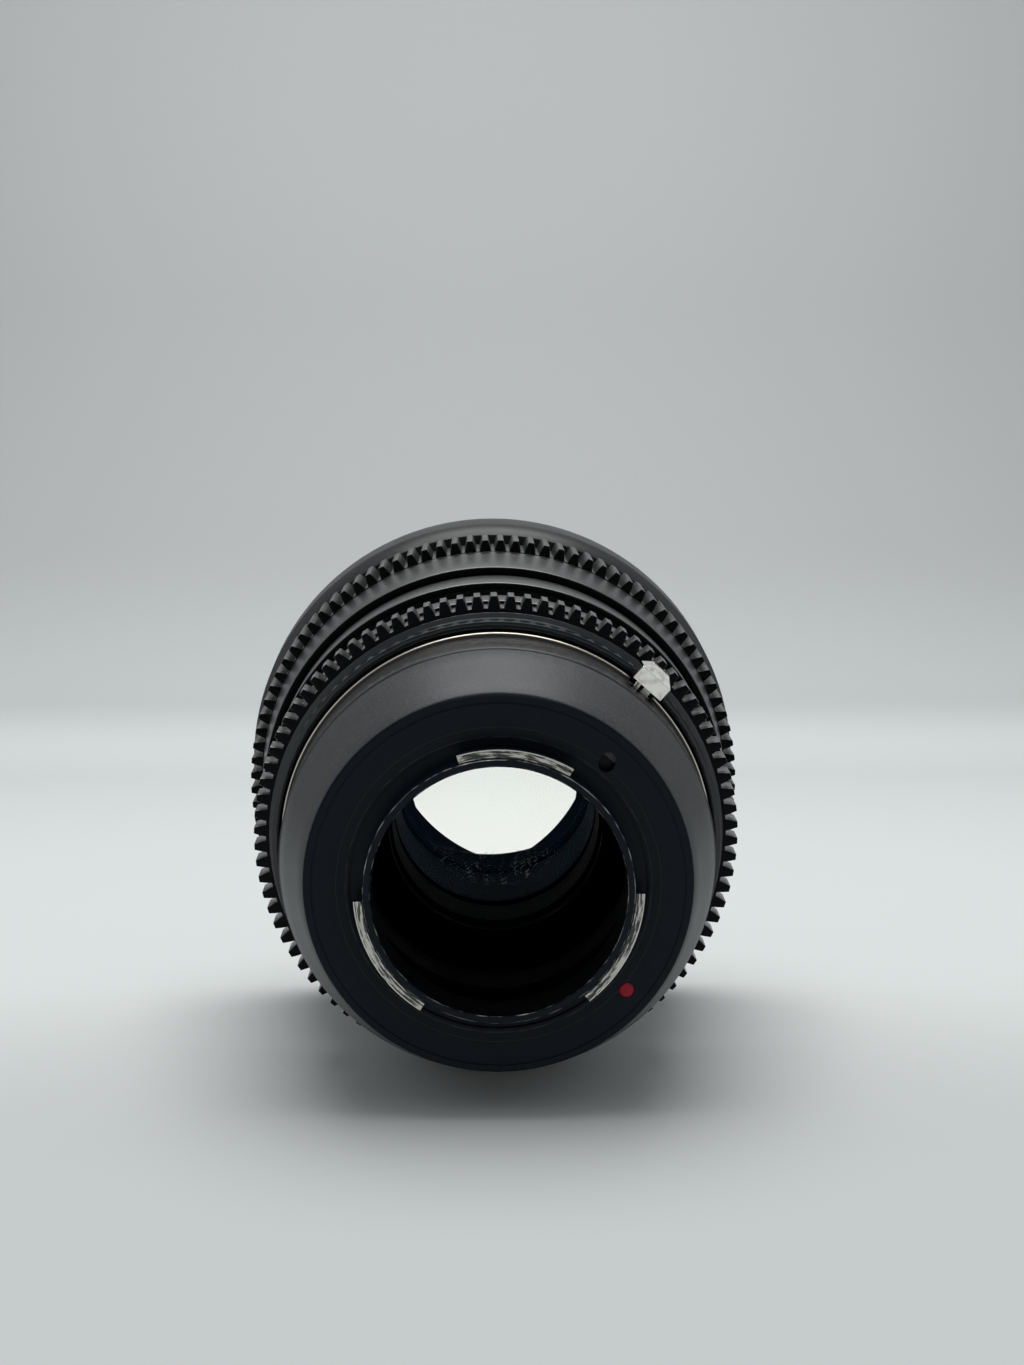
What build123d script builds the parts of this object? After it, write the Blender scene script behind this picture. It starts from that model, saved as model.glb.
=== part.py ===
from build123d import *
import os
from math import atan2, cos, degrees, radians, sin, sqrt

os.makedirs("parts", exist_ok=True)

# A cinema prime lens lying on its side, with a short body adapter locked on its rear.
# Millimetres. The origin is the centre of the adapter's camera flange face,
# +Y runs along the optical axis towards the front glass and +Z is up.
# Angles are in degrees as seen from the camera side, counter-clockwise from +X.

# Clearances shared by all pieces
RUNNING_CLEARANCE = 0.15
FREE_CLEARANCE = 0.3
SEAT_CLEARANCE = 0.05
OVERRUN = 1.0

# Camera bayonet
FLANGE_RADIUS = 27.11
FLANGE_EDGE = 0.68
FLANGE_CHAMFER = 0.24
FLANGE_SPIGOT_RADIUS = 23.4
FLANGE_SPIGOT_DEPTH = 2.24
FLANGE_LINE_RADIUS = 25.94
FLANGE_LINE_WIDTH = 0.29
FLANGE_LINE_DEPTH = 0.15
TUBE_RADIUS = 18.77
TUBE_BORE_RADIUS = 17.65
TUBE_LENGTH = 3.41
TUBE_EDGE_CHAMFER = 0.2
RECESS_RADIUS = 20.67
RECESS_DEPTH = 0.58
RECESS_LIP_DEPTH = 0.15
RECESS_BEVEL = 0.68
LUG_RADIUS = 20.04
LUG_THICKNESS = 1.36
LUG_SETBACK = 0.29
LUG_SPANS = ((59.5, 106.7), (183.4, 236.9), (308.7, 359.2))
LOCK_HOLE_ANGLE = 49.6
LOCK_HOLE_PLACE_RADIUS = 23.01
LOCK_HOLE_LENGTH = 2.83
LOCK_HOLE_WIDTH = 2.24
LOCK_HOLE_DEPTH = 1.75
LOCK_HOLE_TILT = 20.0
DOT_ANGLE = -40.2
DOT_PLACE_RADIUS = 23.4
DOT_RADIUS = 1.02
DOT_DEPTH = 0.49
DOT_STANDING = 0.12

# Adapter shell
CONE_LENGTH = 11.21
CONE_REAR_RADIUS = 27.3
CONE_FRONT_RADIUS = 31.4
CONE_EDGE = 0.24
SHELL_BORE_RADIUS = 24.86
SPIGOT_RADIUS = 26.52
SPIGOT_LENGTH = 2.92
SHELL_SEAM = 0.2
ADAPTER_BARREL_LENGTH = 9.94
ADAPTER_BARREL_RADIUS = 31.59
ADAPTER_RIM_WALL = 1.32
LENS_RING_DEPTH = 2.15
LIP_RADIUS = 32.17
LIP_THICKNESS = 0.68
LIP_EDGE = 0.15
LENS_RING_BORE_RADIUS = 23.01
LENS_RING_TAB_RADIUS = 21.84
LENS_RING_TAB_THICKNESS = 1.46
LENS_RING_TAB_SPAN = 46.0
LENS_RING_TAB_ANGLE = 30.0
RING_SCREW_PLACE_RADIUS = 26.71
RING_SCREW_ANGLE = 5.0
RING_SCREW_BITE = 4.39
BAFFLE_WALL = 0.88
BAFFLE_FRONT_RADIUS = 21.06
BAFFLE_LENGTH = 13.46
BAFFLE_RIBS = 7
BAFFLE_RIB_HEIGHT = 0.44
BAFFLE_FLANGE_SHARE = 0.55
BAFFLE_FLANGE_WIDTH = 1.17

# Release knob of the adapter
RELEASE_ANGLE = 48.2
RELEASE_POCKET_ANGLE = 48.2
KNOB_LENGTH = 5.3
KNOB_WIDTH = 4.68
KNOB_SETBACK = 4.0
KNOB_SEAT_RADIUS = 32.66
KNOB_HEIGHT = 3.51
KNOB_END_CHAMFER = 1.22
KNOB_TOP_CHAMFER = 1.32
RELEASE_POCKET_WIDTH = 4.48
RELEASE_POCKET_FLOOR = 26.91
RELEASE_POCKET_LENGTH = 4.09
SLIDER_WIDTH = 2.92
SLIDER_THICKNESS = 1.95
SLIDER_SETBACK = 0.29
SLIDER_TOP_RADIUS = 30.42
ARM_WIDTH = 1.27
ARM_THICKNESS = 1.27
ARM_ANGLE = 46.9
STEM_RADIUS = 0.54
STEM_ANGLE = 49.6
LOCK_PIN_RADIUS = 0.68
LOCK_PIN_PLACE_RADIUS = 28.66
LOCK_PIN_REACH = 0.88
SPRING_STRIP = 0.3

# Rear of the lens
LENS_FLANGE_RADIUS = 31.59
LENS_FLANGE_THICKNESS = 1.36
LENS_TUBE_RADIUS = 21.55
LENS_TUBE_WALL = 1.07
LENS_TUBE_LENGTH = 5.46
LENS_LUG_RADIUS = 22.72
LENS_LUG_THICKNESS = 1.27
BARREL_WEB_THICKNESS = 2.73
MOUNT_SCREW_PLACE_RADIUS = 27.49
MOUNT_SCREW_ANGLE = 10.0
MOUNT_SCREW_BITE = 2.34
REAR_RING_GAP = 0.49
REAR_RING_LENGTH = 4.29
REAR_RING_RADIUS = 33.64
REAR_RING_BEAD_RADIUS = 34.42
REAR_RING_BEAD_WIDTH = 0.34
SLEEVE_RADIUS = 32.56
SLEEVE_WALL = 1.46

# Aperture ring, with a gear of standard pitch for a lens motor
GEAR_MODULE = 0.8
TOOTH_DEPTH_PER_MODULE = 2.25
APERTURE_TEETH = 90
APERTURE_TOOTH_ANGLE = 90.46
APERTURE_GEAR_WIDTH = 4.39
APERTURE_GROOVE_WIDTH = 0.39
APERTURE_GROOVE_DEPTH = 0.88
APERTURE_SHOULDER_RADIUS = 35.49
APERTURE_SHOULDER_LENGTH = 5.95
APERTURE_OPEN_TURN = 6.0
APERTURE_CLOSED_TURN = 60.0
APERTURE_RETAINER_RADIUS = 34.32
APERTURE_RETAINER_WIDTH = 1.36
NECK_LENGTH = 6.04

# Tooth outline: widths as shares of the pitch at the tip circle
TOOTH_TIP_SHARE = 0.36
TOOTH_MIDDLE_SHARE = 0.58
TOOTH_BASE_SHARE = 0.76
TOOTH_MIDDLE_HEIGHT_SHARE = 0.5

# Link from the aperture ring to the iris
LINK_ANGLE = -90.0
LINK_INNER_RADIUS = 25.5
LINK_THICKNESS = 0.97
LINK_WIDTH = 2.92
LINK_FOOT_WIDTH = 3.51
LINK_FOOT_LENGTH = 2.54
LINK_LENGTH = 32.17
FOOT_END_GAP = 1.95
LINK_SCREW_SINK = 0.2
LINK_SCREW_BITE = 2.92
LINK_SCREW_RADIUS = 0.7
LINK_SCREW_HEAD_RADIUS = 1.3
FORK_WIDTH = 1.56
FORK_LENGTH = 12.87

# Fixed barrel around the focus mechanism
INDEX_RING_RADIUS = 36.66
INDEX_RING_LENGTH = 11.02
FRONT_SLEEVE_RADIUS = 35.49
FRONT_SLEEVE_LENGTH = 24.18
FRONT_SLEEVE_BORE_RADIUS = 32.86
STEP_WEB_THICKNESS = 1.46
KEY_WIDTH = 3.9
KEY_INNER_RADIUS = 28.86
KEY_OUTER_RADIUS = 30.52
KEY_FOOT_RADIUS = 30.91
KEY_FOOT_LENGTH = 5.36
KEY_REACH = 19.99
KEY_SCREW_RADIUS = 0.6
KEY_SCREW_HEAD_RADIUS = 1.15
KEY_SCREW_HEAD_HEIGHT = 0.7
KEY_ANGLES = (0.0, 180.0)
KEYWAY_END = 3.41

# Focus ring, with the larger gear
FOCUS_TEETH = 100
FOCUS_TOOTH_ANGLE = 88.3
# How far the focus teeth stand beyond the standard height, as the outline asks
FOCUS_TIP_EXTRA = 0.4
FOCUS_GEAR_WIDTH = 10.82
SKIRT_LENGTH = 10.72
SKIRT_OVERLAP = 1.85
SKIRT_REAR_RADIUS = 38.02
SKIRT_EDGE = 0.2
FOCUS_WEB_THICKNESS = 4.88
HELICOID_WALL = 1.9
HELICOID_OUTER_LENGTH = 20.47
HELICOID_FLANGE_RADIUS = 35.1
HELICOID_FLANGE_THICKNESS = 1.17
FOCUS_SCREW_COUNT = 3
FOCUS_SCREW_PLACE_RADIUS = 33.93
SCREW_SHANK_RADIUS = 0.7
SCREW_HEAD_RADIUS = 1.3
SCREW_HEAD_HEIGHT = 1.1
SCREW_SLOT_SHARE = 0.3

# Front ring and its fittings, all on the sliding optical unit
FRONT_GAP = 0.78
FRONT_RING_LENGTH = 12.77
FRONT_RING_SHOULDER_LENGTH = 2.92
FRONT_RING_EDGE = 0.44
FRONT_RING_WEB = 2.54
FRONT_SCREW_PLACE_RADIUS = 29.7
FRONT_SCREW_ANGLE = 45.0
FRONT_SCREW_RADIUS = 0.5
FRONT_SCREW_HEAD_RADIUS = 0.9
FRONT_SCREW_HEAD_HEIGHT = 0.7
FRONT_SCREW_BITE = 3.9
FILTER_THREAD_RADIUS = 38.5
FILTER_THREAD_LENGTH = 4.1
THREAD_RELIEF_DEPTH = 0.4
THREAD_RELIEF_LENGTH = 0.8
FRONT_RING_WALL = 4.0
FRONT_RING_SHOULDER_DROP = 0.26
FRONT_RING_REAR_DROP = 1.65
FRONT_CAVITY_STEP = 0.6
HELICOID_INNER_WALL = 2.05
HELICOID_INNER_LENGTH = 31.2
BEZEL_THICKNESS = 0.88
BEZEL_DROP = 2.54
BEZEL_RIDGES = 9

# Iris
IRIS_HOUSING_WALL = 1.51
IRIS_HOUSING_STANDING = 0.97
IRIS_PLATE_THICKNESS = 0.97
IRIS_OPENING_RADIUS = 16.19
IRIS_SETBACK = 7.31
IRIS_DRIVE_THICKNESS = 0.97
BLADE_COUNT = 8
BLADE_THICKNESS = 0.14
BLADE_PITCH = 0.32
BLADE_EDGE_RADIUS = 25.35
BLADE_REST_RADIUS = 14.62
BLADE_OUTER_RADIUS = 23.4
BLADE_TIP_ANGLE = 64.0
BLADE_PIVOT_ANGLE = 62.0
BLADE_PIVOT_RADIUS = 20.96
BLADE_BOSS_RADIUS = 2.34
BLADE_HOLE_RADIUS = 0.49
FIRST_BLADE_ANGLE = -86.0
BLADE_TURN_SHARE = 0.55
CAM_ARM = 7.8
CAM_ARM_ANGLE = 20.0
CAM_SLOT_WIDTH = 1.75

# Glass and its cells
REAR_CELL_RADIUS = 22.91
REAR_CELL_BORE_RADIUS = 17.16
REAR_CELL_LENGTH = 35.78
REAR_CELL_LEDGE_RADIUS = 16.38
REAR_CELL_LEDGE = 0.97
REAR_CELL_FLANGE_RADIUS = 24.86
REAR_CELL_FLANGE = 1.07
CELL_SCREW_PLACE_RADIUS = 23.98
CELL_SCREW_ANGLE = 30.0
CELL_SCREW_RADIUS = 0.5
CELL_SCREW_HEAD_RADIUS = 0.8
CELL_SCREW_HEAD_HEIGHT = 0.6
REAR_RETAINER_RADIUS = 18.52
REAR_RETAINER_BORE_RADIUS = 16.53
REAR_RETAINER_DEPTH = 1.56
RETAINER_NOTCH_WIDTH = 1.56
RETAINER_NOTCH_DEPTH = 0.68
SPACER_WALL = 0.88
REAR_GLASS_EDGE = 2.92
REAR_GLASS_REAR_CURVE = 68.25
REAR_GLASS_FRONT_CURVE = 46.8
REAR_SPACER_LENGTH = 7.8
MIDDLE_GLASS_EDGE = 2.54
MIDDLE_GLASS_REAR_CURVE = 58.5
MIDDLE_GLASS_FRONT_CURVE = 73.12
DOUBLET_EDGE = 6.34
DOUBLET_REAR_CURVE = 50.7
DOUBLET_FRONT_CURVE = 62.4
FRONT_CELL_BORE_RADIUS = 23.01
FRONT_CELL_SPIGOT = 2.05
FRONT_CELL_LENGTH = 7.3
FRONT_GLASS_RADIUS = 25.25
FRONT_GLASS_EDGE = 2.63
FRONT_GLASS_SEAT = 1.17
FRONT_GLASS_REAR_CURVE = 87.75
FRONT_GLASS_FRONT_CURVE = 73.12
FRONT_RETAINER_BORE_RADIUS = 23.98
FRONT_RETAINER_WIDTH = 1.56
RETAINER_LIFT = 0.88

# Stations along the axis, rear to front
cone_rear = FLANGE_EDGE
cone_front = cone_rear + CONE_LENGTH
adapter_barrel_rear = cone_front + SHELL_SEAM
adapter_barrel_front = adapter_barrel_rear + ADAPTER_BARREL_LENGTH
lens_ring_rear = adapter_barrel_front - LENS_RING_DEPTH
lens_seat = adapter_barrel_front + LIP_THICKNESS
rear_ring_rear = lens_seat + REAR_RING_GAP
rear_ring_front = rear_ring_rear + REAR_RING_LENGTH
lens_flange_front = lens_seat + SEAT_CLEARANCE + LENS_FLANGE_THICKNESS
barrel_rear = lens_flange_front + SEAT_CLEARANCE
barrel_web_front = barrel_rear + BARREL_WEB_THICKNESS
aperture_rear = rear_ring_front + FREE_CLEARANCE
aperture_gear_front = aperture_rear + APERTURE_GEAR_WIDTH
aperture_shoulder_rear = aperture_gear_front + APERTURE_GROOVE_WIDTH
aperture_front = aperture_shoulder_rear + APERTURE_SHOULDER_LENGTH
index_rear = aperture_front + NECK_LENGTH
index_front = index_rear + INDEX_RING_LENGTH
front_sleeve_end = index_rear + FRONT_SLEEVE_LENGTH
focus_rear = index_front - SKIRT_OVERLAP
focus_gear_rear = focus_rear + SKIRT_LENGTH
focus_front = focus_gear_rear + FOCUS_GEAR_WIDTH
focus_web_rear = focus_front - FOCUS_WEB_THICKNESS
front_ring_rear = focus_front + FRONT_GAP
front_ring_front = front_ring_rear + FRONT_RING_LENGTH
front_web_front = front_ring_rear + FRONT_RING_WEB
iris_rear = front_ring_rear - IRIS_SETBACK
iris_housing_front = front_ring_rear + IRIS_HOUSING_STANDING

# Radii worked out from the fits
aperture_tip_radius = GEAR_MODULE * (APERTURE_TEETH + 2) / 2
focus_tip_radius = GEAR_MODULE * (FOCUS_TEETH + 2) / 2 + FOCUS_TIP_EXTRA
tooth_depth = GEAR_MODULE * TOOTH_DEPTH_PER_MODULE
aperture_root_radius = aperture_tip_radius - tooth_depth
focus_root_radius = focus_tip_radius - tooth_depth
sleeve_bore_radius = SLEEVE_RADIUS - SLEEVE_WALL
aperture_bore_radius = SLEEVE_RADIUS + RUNNING_CLEARANCE
focus_bore_radius = FRONT_SLEEVE_RADIUS + RUNNING_CLEARANCE
skirt_bore_radius = INDEX_RING_RADIUS + FREE_CLEARANCE
helicoid_outer_radius = FRONT_SLEEVE_BORE_RADIUS - RUNNING_CLEARANCE
helicoid_thread_radius = helicoid_outer_radius - HELICOID_WALL
helicoid_inner_radius = helicoid_thread_radius - RUNNING_CLEARANCE
carrier_bore_radius = helicoid_inner_radius - HELICOID_INNER_WALL
housing_radius = carrier_bore_radius - SEAT_CLEARANCE
chamber_radius = housing_radius - IRIS_HOUSING_WALL
link_outer_radius = LINK_INNER_RADIUS + LINK_THICKNESS
front_ring_radius = FILTER_THREAD_RADIUS + FRONT_RING_WALL
front_cavity_radius = FILTER_THREAD_RADIUS - FRONT_CAVITY_STEP


def polar(radius, angle):
    """The X and Z of a point at an angle round the axis."""
    return (radius * cos(radians(angle)), radius * sin(radians(angle)))


def across(station):
    """A plane square to the axis, seen from the camera side; extrude by a minus sign goes forward."""
    return Plane.XZ.offset(-station)


def outward(angle, station, radius=0):
    """A plane facing out from the axis; its x runs round the lens and its y along it."""
    run_x, run_z = polar(1, angle)
    centre = (radius * run_x, station, radius * run_z)
    return Plane(origin=centre, x_dir=(-run_z, 0, run_x), z_dir=(run_x, 0, run_z))


def turned(*outline, mode=Mode.ADD):
    """Turn a closed outline of (radius, station) points about the axis, in the open part."""
    with BuildSketch(Plane.XY) as profile:
        with BuildLine():
            Polyline(*outline, close=True)
        make_face()
    revolve(profile.sketch, axis=Axis.Y, mode=mode)


def tube(outer, inner, rear, front, mode=Mode.ADD):
    """A plain ring between two radii and two stations, in the open part."""
    turned((inner, rear), (outer, rear), (outer, front), (inner, front), mode=mode)


def keep(piece, label):
    """Name a finished piece and write it."""
    piece.part.label = label
    export_step(piece.part, f"parts/{label}.step")


def sector(start, end, inner, outer, rear, front, mode=Mode.ADD):
    """Part of a ring between two angles, in the open part."""
    middle = (start + end) / 2
    reach = 2 * outer
    with BuildSketch(across(rear)) as profile:
        with BuildLine():
            Polyline((0, 0), polar(reach, start), polar(reach, middle), polar(reach, end), close=True)
        make_face()
        Circle(outer, mode=Mode.INTERSECT)
        Circle(inner, mode=Mode.SUBTRACT)
    extrude(profile.sketch, amount=rear - front, mode=mode)


def block(angle, width, inner, outer, rear, front, mode=Mode.ADD):
    """A straight block standing out at an angle, in the open part."""
    with BuildSketch(outward(angle, (rear + front) / 2, inner)) as profile:
        Rectangle(width, front - rear)
    extrude(profile.sketch, amount=outer - inner, mode=mode)


def bars(places, radius, rear, front, mode=Mode.ADD):
    """Round bars along the axis at (place radius, angle) places, in the open part."""
    with BuildSketch(across(rear)) as profile:
        with Locations(*[polar(place, angle) for place, angle in places]):
            Circle(radius)
    extrude(profile.sketch, amount=rear - front, mode=mode)


def stud(angle, station, radius, inner, outer, mode=Mode.ADD):
    """A round bar standing out at an angle, in the open part."""
    with BuildSketch(outward(angle, station, inner)) as profile:
        Circle(radius)
    extrude(profile.sketch, amount=outer - inner, mode=mode)


def screws(places, shank_radius, head_radius, rear, head_rear, front, head_first=False):
    """Cap screws along the axis with a driver slot in each head, in the open part."""
    bars(places, shank_radius, rear, front)
    if head_first:
        bars(places, head_radius, rear, head_rear)
        slot_rear, slot_front = rear, rear + (head_rear - rear) / 2
    else:
        bars(places, head_radius, head_rear, front)
        slot_rear, slot_front = head_rear + (front - head_rear) / 2, front
    with BuildSketch(across(slot_rear)) as profile:
        with Locations(*[polar(place, angle) for place, angle in places]):
            Rectangle(3 * head_radius, head_radius * SCREW_SLOT_SHARE)
    extrude(profile.sketch, amount=slot_rear - slot_front, mode=Mode.SUBTRACT)


def tooth_points(teeth, first_angle, tip_radius, root_radius):
    """The outline points of a spur gear, tooth by tooth."""
    pitch = 360 / teeth
    levels = (
        (root_radius, TOOTH_BASE_SHARE / 2),
        (root_radius + tooth_depth * TOOTH_MIDDLE_HEIGHT_SHARE, TOOTH_MIDDLE_SHARE / 2),
        (tip_radius, TOOTH_TIP_SHARE / 2),
    )
    points = []
    for tooth in range(teeth):
        centre = first_angle + tooth * pitch
        for radius, share in levels:
            points.append(polar(radius, centre - share * pitch))
        for radius, share in reversed(levels):
            points.append(polar(radius, centre + share * pitch))
    return points


def gear_band(teeth, first_angle, tip_radius, root_radius, bore_radius, rear, front):
    """A toothed band, in the open part."""
    with BuildSketch(across(rear)) as profile:
        with BuildLine():
            Polyline(*tooth_points(teeth, first_angle, tip_radius, root_radius), close=True)
        make_face()
        Circle(bore_radius, mode=Mode.SUBTRACT)
    extrude(profile.sketch, amount=rear - front)


def crown(curve, radius, at=0):
    """How far a spherical face stands beyond its edge plane at a distance from the axis.

    A minus curve is hollow.
    """
    rise = sqrt(curve ** 2 - at ** 2) - sqrt(curve ** 2 - radius ** 2)
    return rise if curve > 0 else -rise


def glass(radius, clear, rear, edge, rear_curve, front_curve):
    """A lens element: cylinder edge, flat seats outside the clear radius, two spherical faces."""
    front = rear + edge
    half = clear / 2
    rear_top = rear - crown(rear_curve, clear)
    front_top = front + crown(front_curve, clear)
    with BuildSketch(Plane.XY) as profile:
        with BuildLine():
            ThreePointArc((0, rear_top), (half, rear - crown(rear_curve, clear, half)), (clear, rear))
            Polyline((clear, rear), (radius, rear), (radius, front), (clear, front))
            ThreePointArc((clear, front), (half, front + crown(front_curve, clear, half)), (0, front_top))
            Line((0, front_top), (0, rear_top))
        make_face()
    revolve(profile.sketch, axis=Axis.Y)


# Camera bayonet plate: the flange, its spigot, the tube and three lugs
spigot_front = cone_rear + FLANGE_SPIGOT_DEPTH
plate_front = cone_rear - SEAT_CLEARANCE
with BuildPart() as bayonet_plate:
    turned(
        (TUBE_BORE_RADIUS, -TUBE_LENGTH + TUBE_EDGE_CHAMFER),
        (TUBE_BORE_RADIUS + TUBE_EDGE_CHAMFER, -TUBE_LENGTH),
        (TUBE_RADIUS - TUBE_EDGE_CHAMFER, -TUBE_LENGTH),
        (TUBE_RADIUS, -TUBE_LENGTH + TUBE_EDGE_CHAMFER),
        (TUBE_RADIUS, RECESS_DEPTH),
        (RECESS_RADIUS, RECESS_DEPTH),
        (RECESS_RADIUS, RECESS_LIP_DEPTH),
        (RECESS_RADIUS + RECESS_BEVEL, 0),
        (FLANGE_RADIUS - FLANGE_CHAMFER, 0),
        (FLANGE_RADIUS, FLANGE_CHAMFER),
        (FLANGE_RADIUS, plate_front),
        (FLANGE_SPIGOT_RADIUS, plate_front),
        (FLANGE_SPIGOT_RADIUS, spigot_front),
        (TUBE_BORE_RADIUS, spigot_front),
    )
    for lug_start, lug_end in LUG_SPANS:
        sector(
            lug_start, lug_end, TUBE_RADIUS - TUBE_EDGE_CHAMFER * 2, LUG_RADIUS,
            -TUBE_LENGTH + LUG_SETBACK, -TUBE_LENGTH + LUG_SETBACK + LUG_THICKNESS,
        )
    tube(
        FLANGE_LINE_RADIUS + FLANGE_LINE_WIDTH / 2,
        FLANGE_LINE_RADIUS - FLANGE_LINE_WIDTH / 2,
        -OVERRUN,
        FLANGE_LINE_DEPTH,
        mode=Mode.SUBTRACT,
    )
    with BuildSketch(across(-OVERRUN)):
        with Locations(polar(LOCK_HOLE_PLACE_RADIUS, LOCK_HOLE_ANGLE)):
            SlotOverall(LOCK_HOLE_LENGTH, LOCK_HOLE_WIDTH, rotation=LOCK_HOLE_ANGLE + LOCK_HOLE_TILT)
    extrude(amount=-(OVERRUN + LOCK_HOLE_DEPTH), mode=Mode.SUBTRACT)
    bars([(DOT_PLACE_RADIUS, DOT_ANGLE)], DOT_RADIUS + SEAT_CLEARANCE, -OVERRUN, DOT_DEPTH, Mode.SUBTRACT)
keep(bayonet_plate, "bayonet_plate")

# Index dot: a slightly domed bead of enamel in its pocket
with BuildPart() as index_dot:
    bars([(DOT_PLACE_RADIUS, DOT_ANGLE)], DOT_RADIUS, -DOT_STANDING, DOT_DEPTH - SEAT_CLEARANCE)
    chamfer(index_dot.edges().filter_by(GeomType.CIRCLE).sort_by(Axis.Y)[0], DOT_STANDING)
keep(index_dot, "index_dot")

# Grey cone of the adapter, threaded on the plate's spigot behind and the barrel's in front
with BuildPart() as adapter_cone:
    spigot_pocket = cone_front - SPIGOT_LENGTH
    turned(
        (FLANGE_SPIGOT_RADIUS + SEAT_CLEARANCE, cone_rear),
        (CONE_REAR_RADIUS - CONE_EDGE, cone_rear),
        (CONE_REAR_RADIUS, cone_rear + CONE_EDGE),
        (CONE_FRONT_RADIUS, cone_front - CONE_EDGE),
        (CONE_FRONT_RADIUS - CONE_EDGE, cone_front),
        (SPIGOT_RADIUS + SEAT_CLEARANCE, cone_front),
        (SPIGOT_RADIUS + SEAT_CLEARANCE, spigot_pocket),
        (SHELL_BORE_RADIUS, spigot_pocket),
        (SHELL_BORE_RADIUS, spigot_front),
        (FLANGE_SPIGOT_RADIUS + SEAT_CLEARANCE, spigot_front),
    )
keep(adapter_cone, "adapter_cone")

# Black barrel of the adapter, open in front for the lens ring, with the release pocket
lens_ring_radius = ADAPTER_BARREL_RADIUS - ADAPTER_RIM_WALL - SEAT_CLEARANCE
pocket_rear = adapter_barrel_front - RELEASE_POCKET_LENGTH
ring_screw_places = [(RING_SCREW_PLACE_RADIUS, RING_SCREW_ANGLE + turn * 90) for turn in range(4)]
with BuildPart() as adapter_barrel:
    turned(
        (SHELL_BORE_RADIUS, spigot_pocket + SEAT_CLEARANCE),
        (SPIGOT_RADIUS, spigot_pocket + SEAT_CLEARANCE),
        (SPIGOT_RADIUS, adapter_barrel_rear),
        (ADAPTER_BARREL_RADIUS - CONE_EDGE, adapter_barrel_rear),
        (ADAPTER_BARREL_RADIUS, adapter_barrel_rear + CONE_EDGE),
        (ADAPTER_BARREL_RADIUS, adapter_barrel_front),
        (ADAPTER_BARREL_RADIUS - ADAPTER_RIM_WALL, adapter_barrel_front),
        (ADAPTER_BARREL_RADIUS - ADAPTER_RIM_WALL, lens_ring_rear),
        (SHELL_BORE_RADIUS, lens_ring_rear),
    )
    block(
        RELEASE_POCKET_ANGLE, RELEASE_POCKET_WIDTH, RELEASE_POCKET_FLOOR, ADAPTER_BARREL_RADIUS + OVERRUN,
        pocket_rear, adapter_barrel_front + OVERRUN, Mode.SUBTRACT,
    )
    bars(ring_screw_places, SCREW_SHANK_RADIUS + SEAT_CLEARANCE, lens_ring_rear - RING_SCREW_BITE - OVERRUN,
         lens_ring_rear + OVERRUN, Mode.SUBTRACT)
keep(adapter_barrel, "adapter_barrel")

# Light baffle inside the adapter: a flared matte tube with anti-glare ribs
baffle_rear = spigot_front + SEAT_CLEARANCE
baffle_front = baffle_rear + BAFFLE_LENGTH
baffle_slope = (BAFFLE_FRONT_RADIUS - TUBE_BORE_RADIUS) / BAFFLE_LENGTH
baffle_flange_rear = baffle_rear + BAFFLE_LENGTH * BAFFLE_FLANGE_SHARE
baffle_flange_front = baffle_flange_rear + BAFFLE_FLANGE_WIDTH


def baffle_radius(station):
    """The bore radius of the baffle, ribs apart."""
    return TUBE_BORE_RADIUS + BAFFLE_WALL + baffle_slope * (station - baffle_rear)


with BuildPart() as adapter_baffle:
    rib_pitch = BAFFLE_LENGTH / BAFFLE_RIBS
    saw = []
    for rib in range(BAFFLE_RIBS):
        rib_rear = baffle_front - rib * rib_pitch
        saw.append((baffle_radius(rib_rear), rib_rear))
        saw.append((baffle_radius(rib_rear - rib_pitch) - BAFFLE_RIB_HEIGHT, rib_rear - rib_pitch))
    turned(
        (baffle_radius(baffle_rear) + BAFFLE_WALL, baffle_rear),
        (baffle_radius(baffle_flange_rear) + BAFFLE_WALL, baffle_flange_rear),
        (SHELL_BORE_RADIUS - SEAT_CLEARANCE, baffle_flange_rear),
        (SHELL_BORE_RADIUS - SEAT_CLEARANCE, baffle_flange_front),
        (baffle_radius(baffle_flange_front) + BAFFLE_WALL, baffle_flange_front),
        (baffle_radius(baffle_front) + BAFFLE_WALL, baffle_front),
        *saw,
    )
keep(adapter_baffle, "adapter_baffle")

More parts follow.
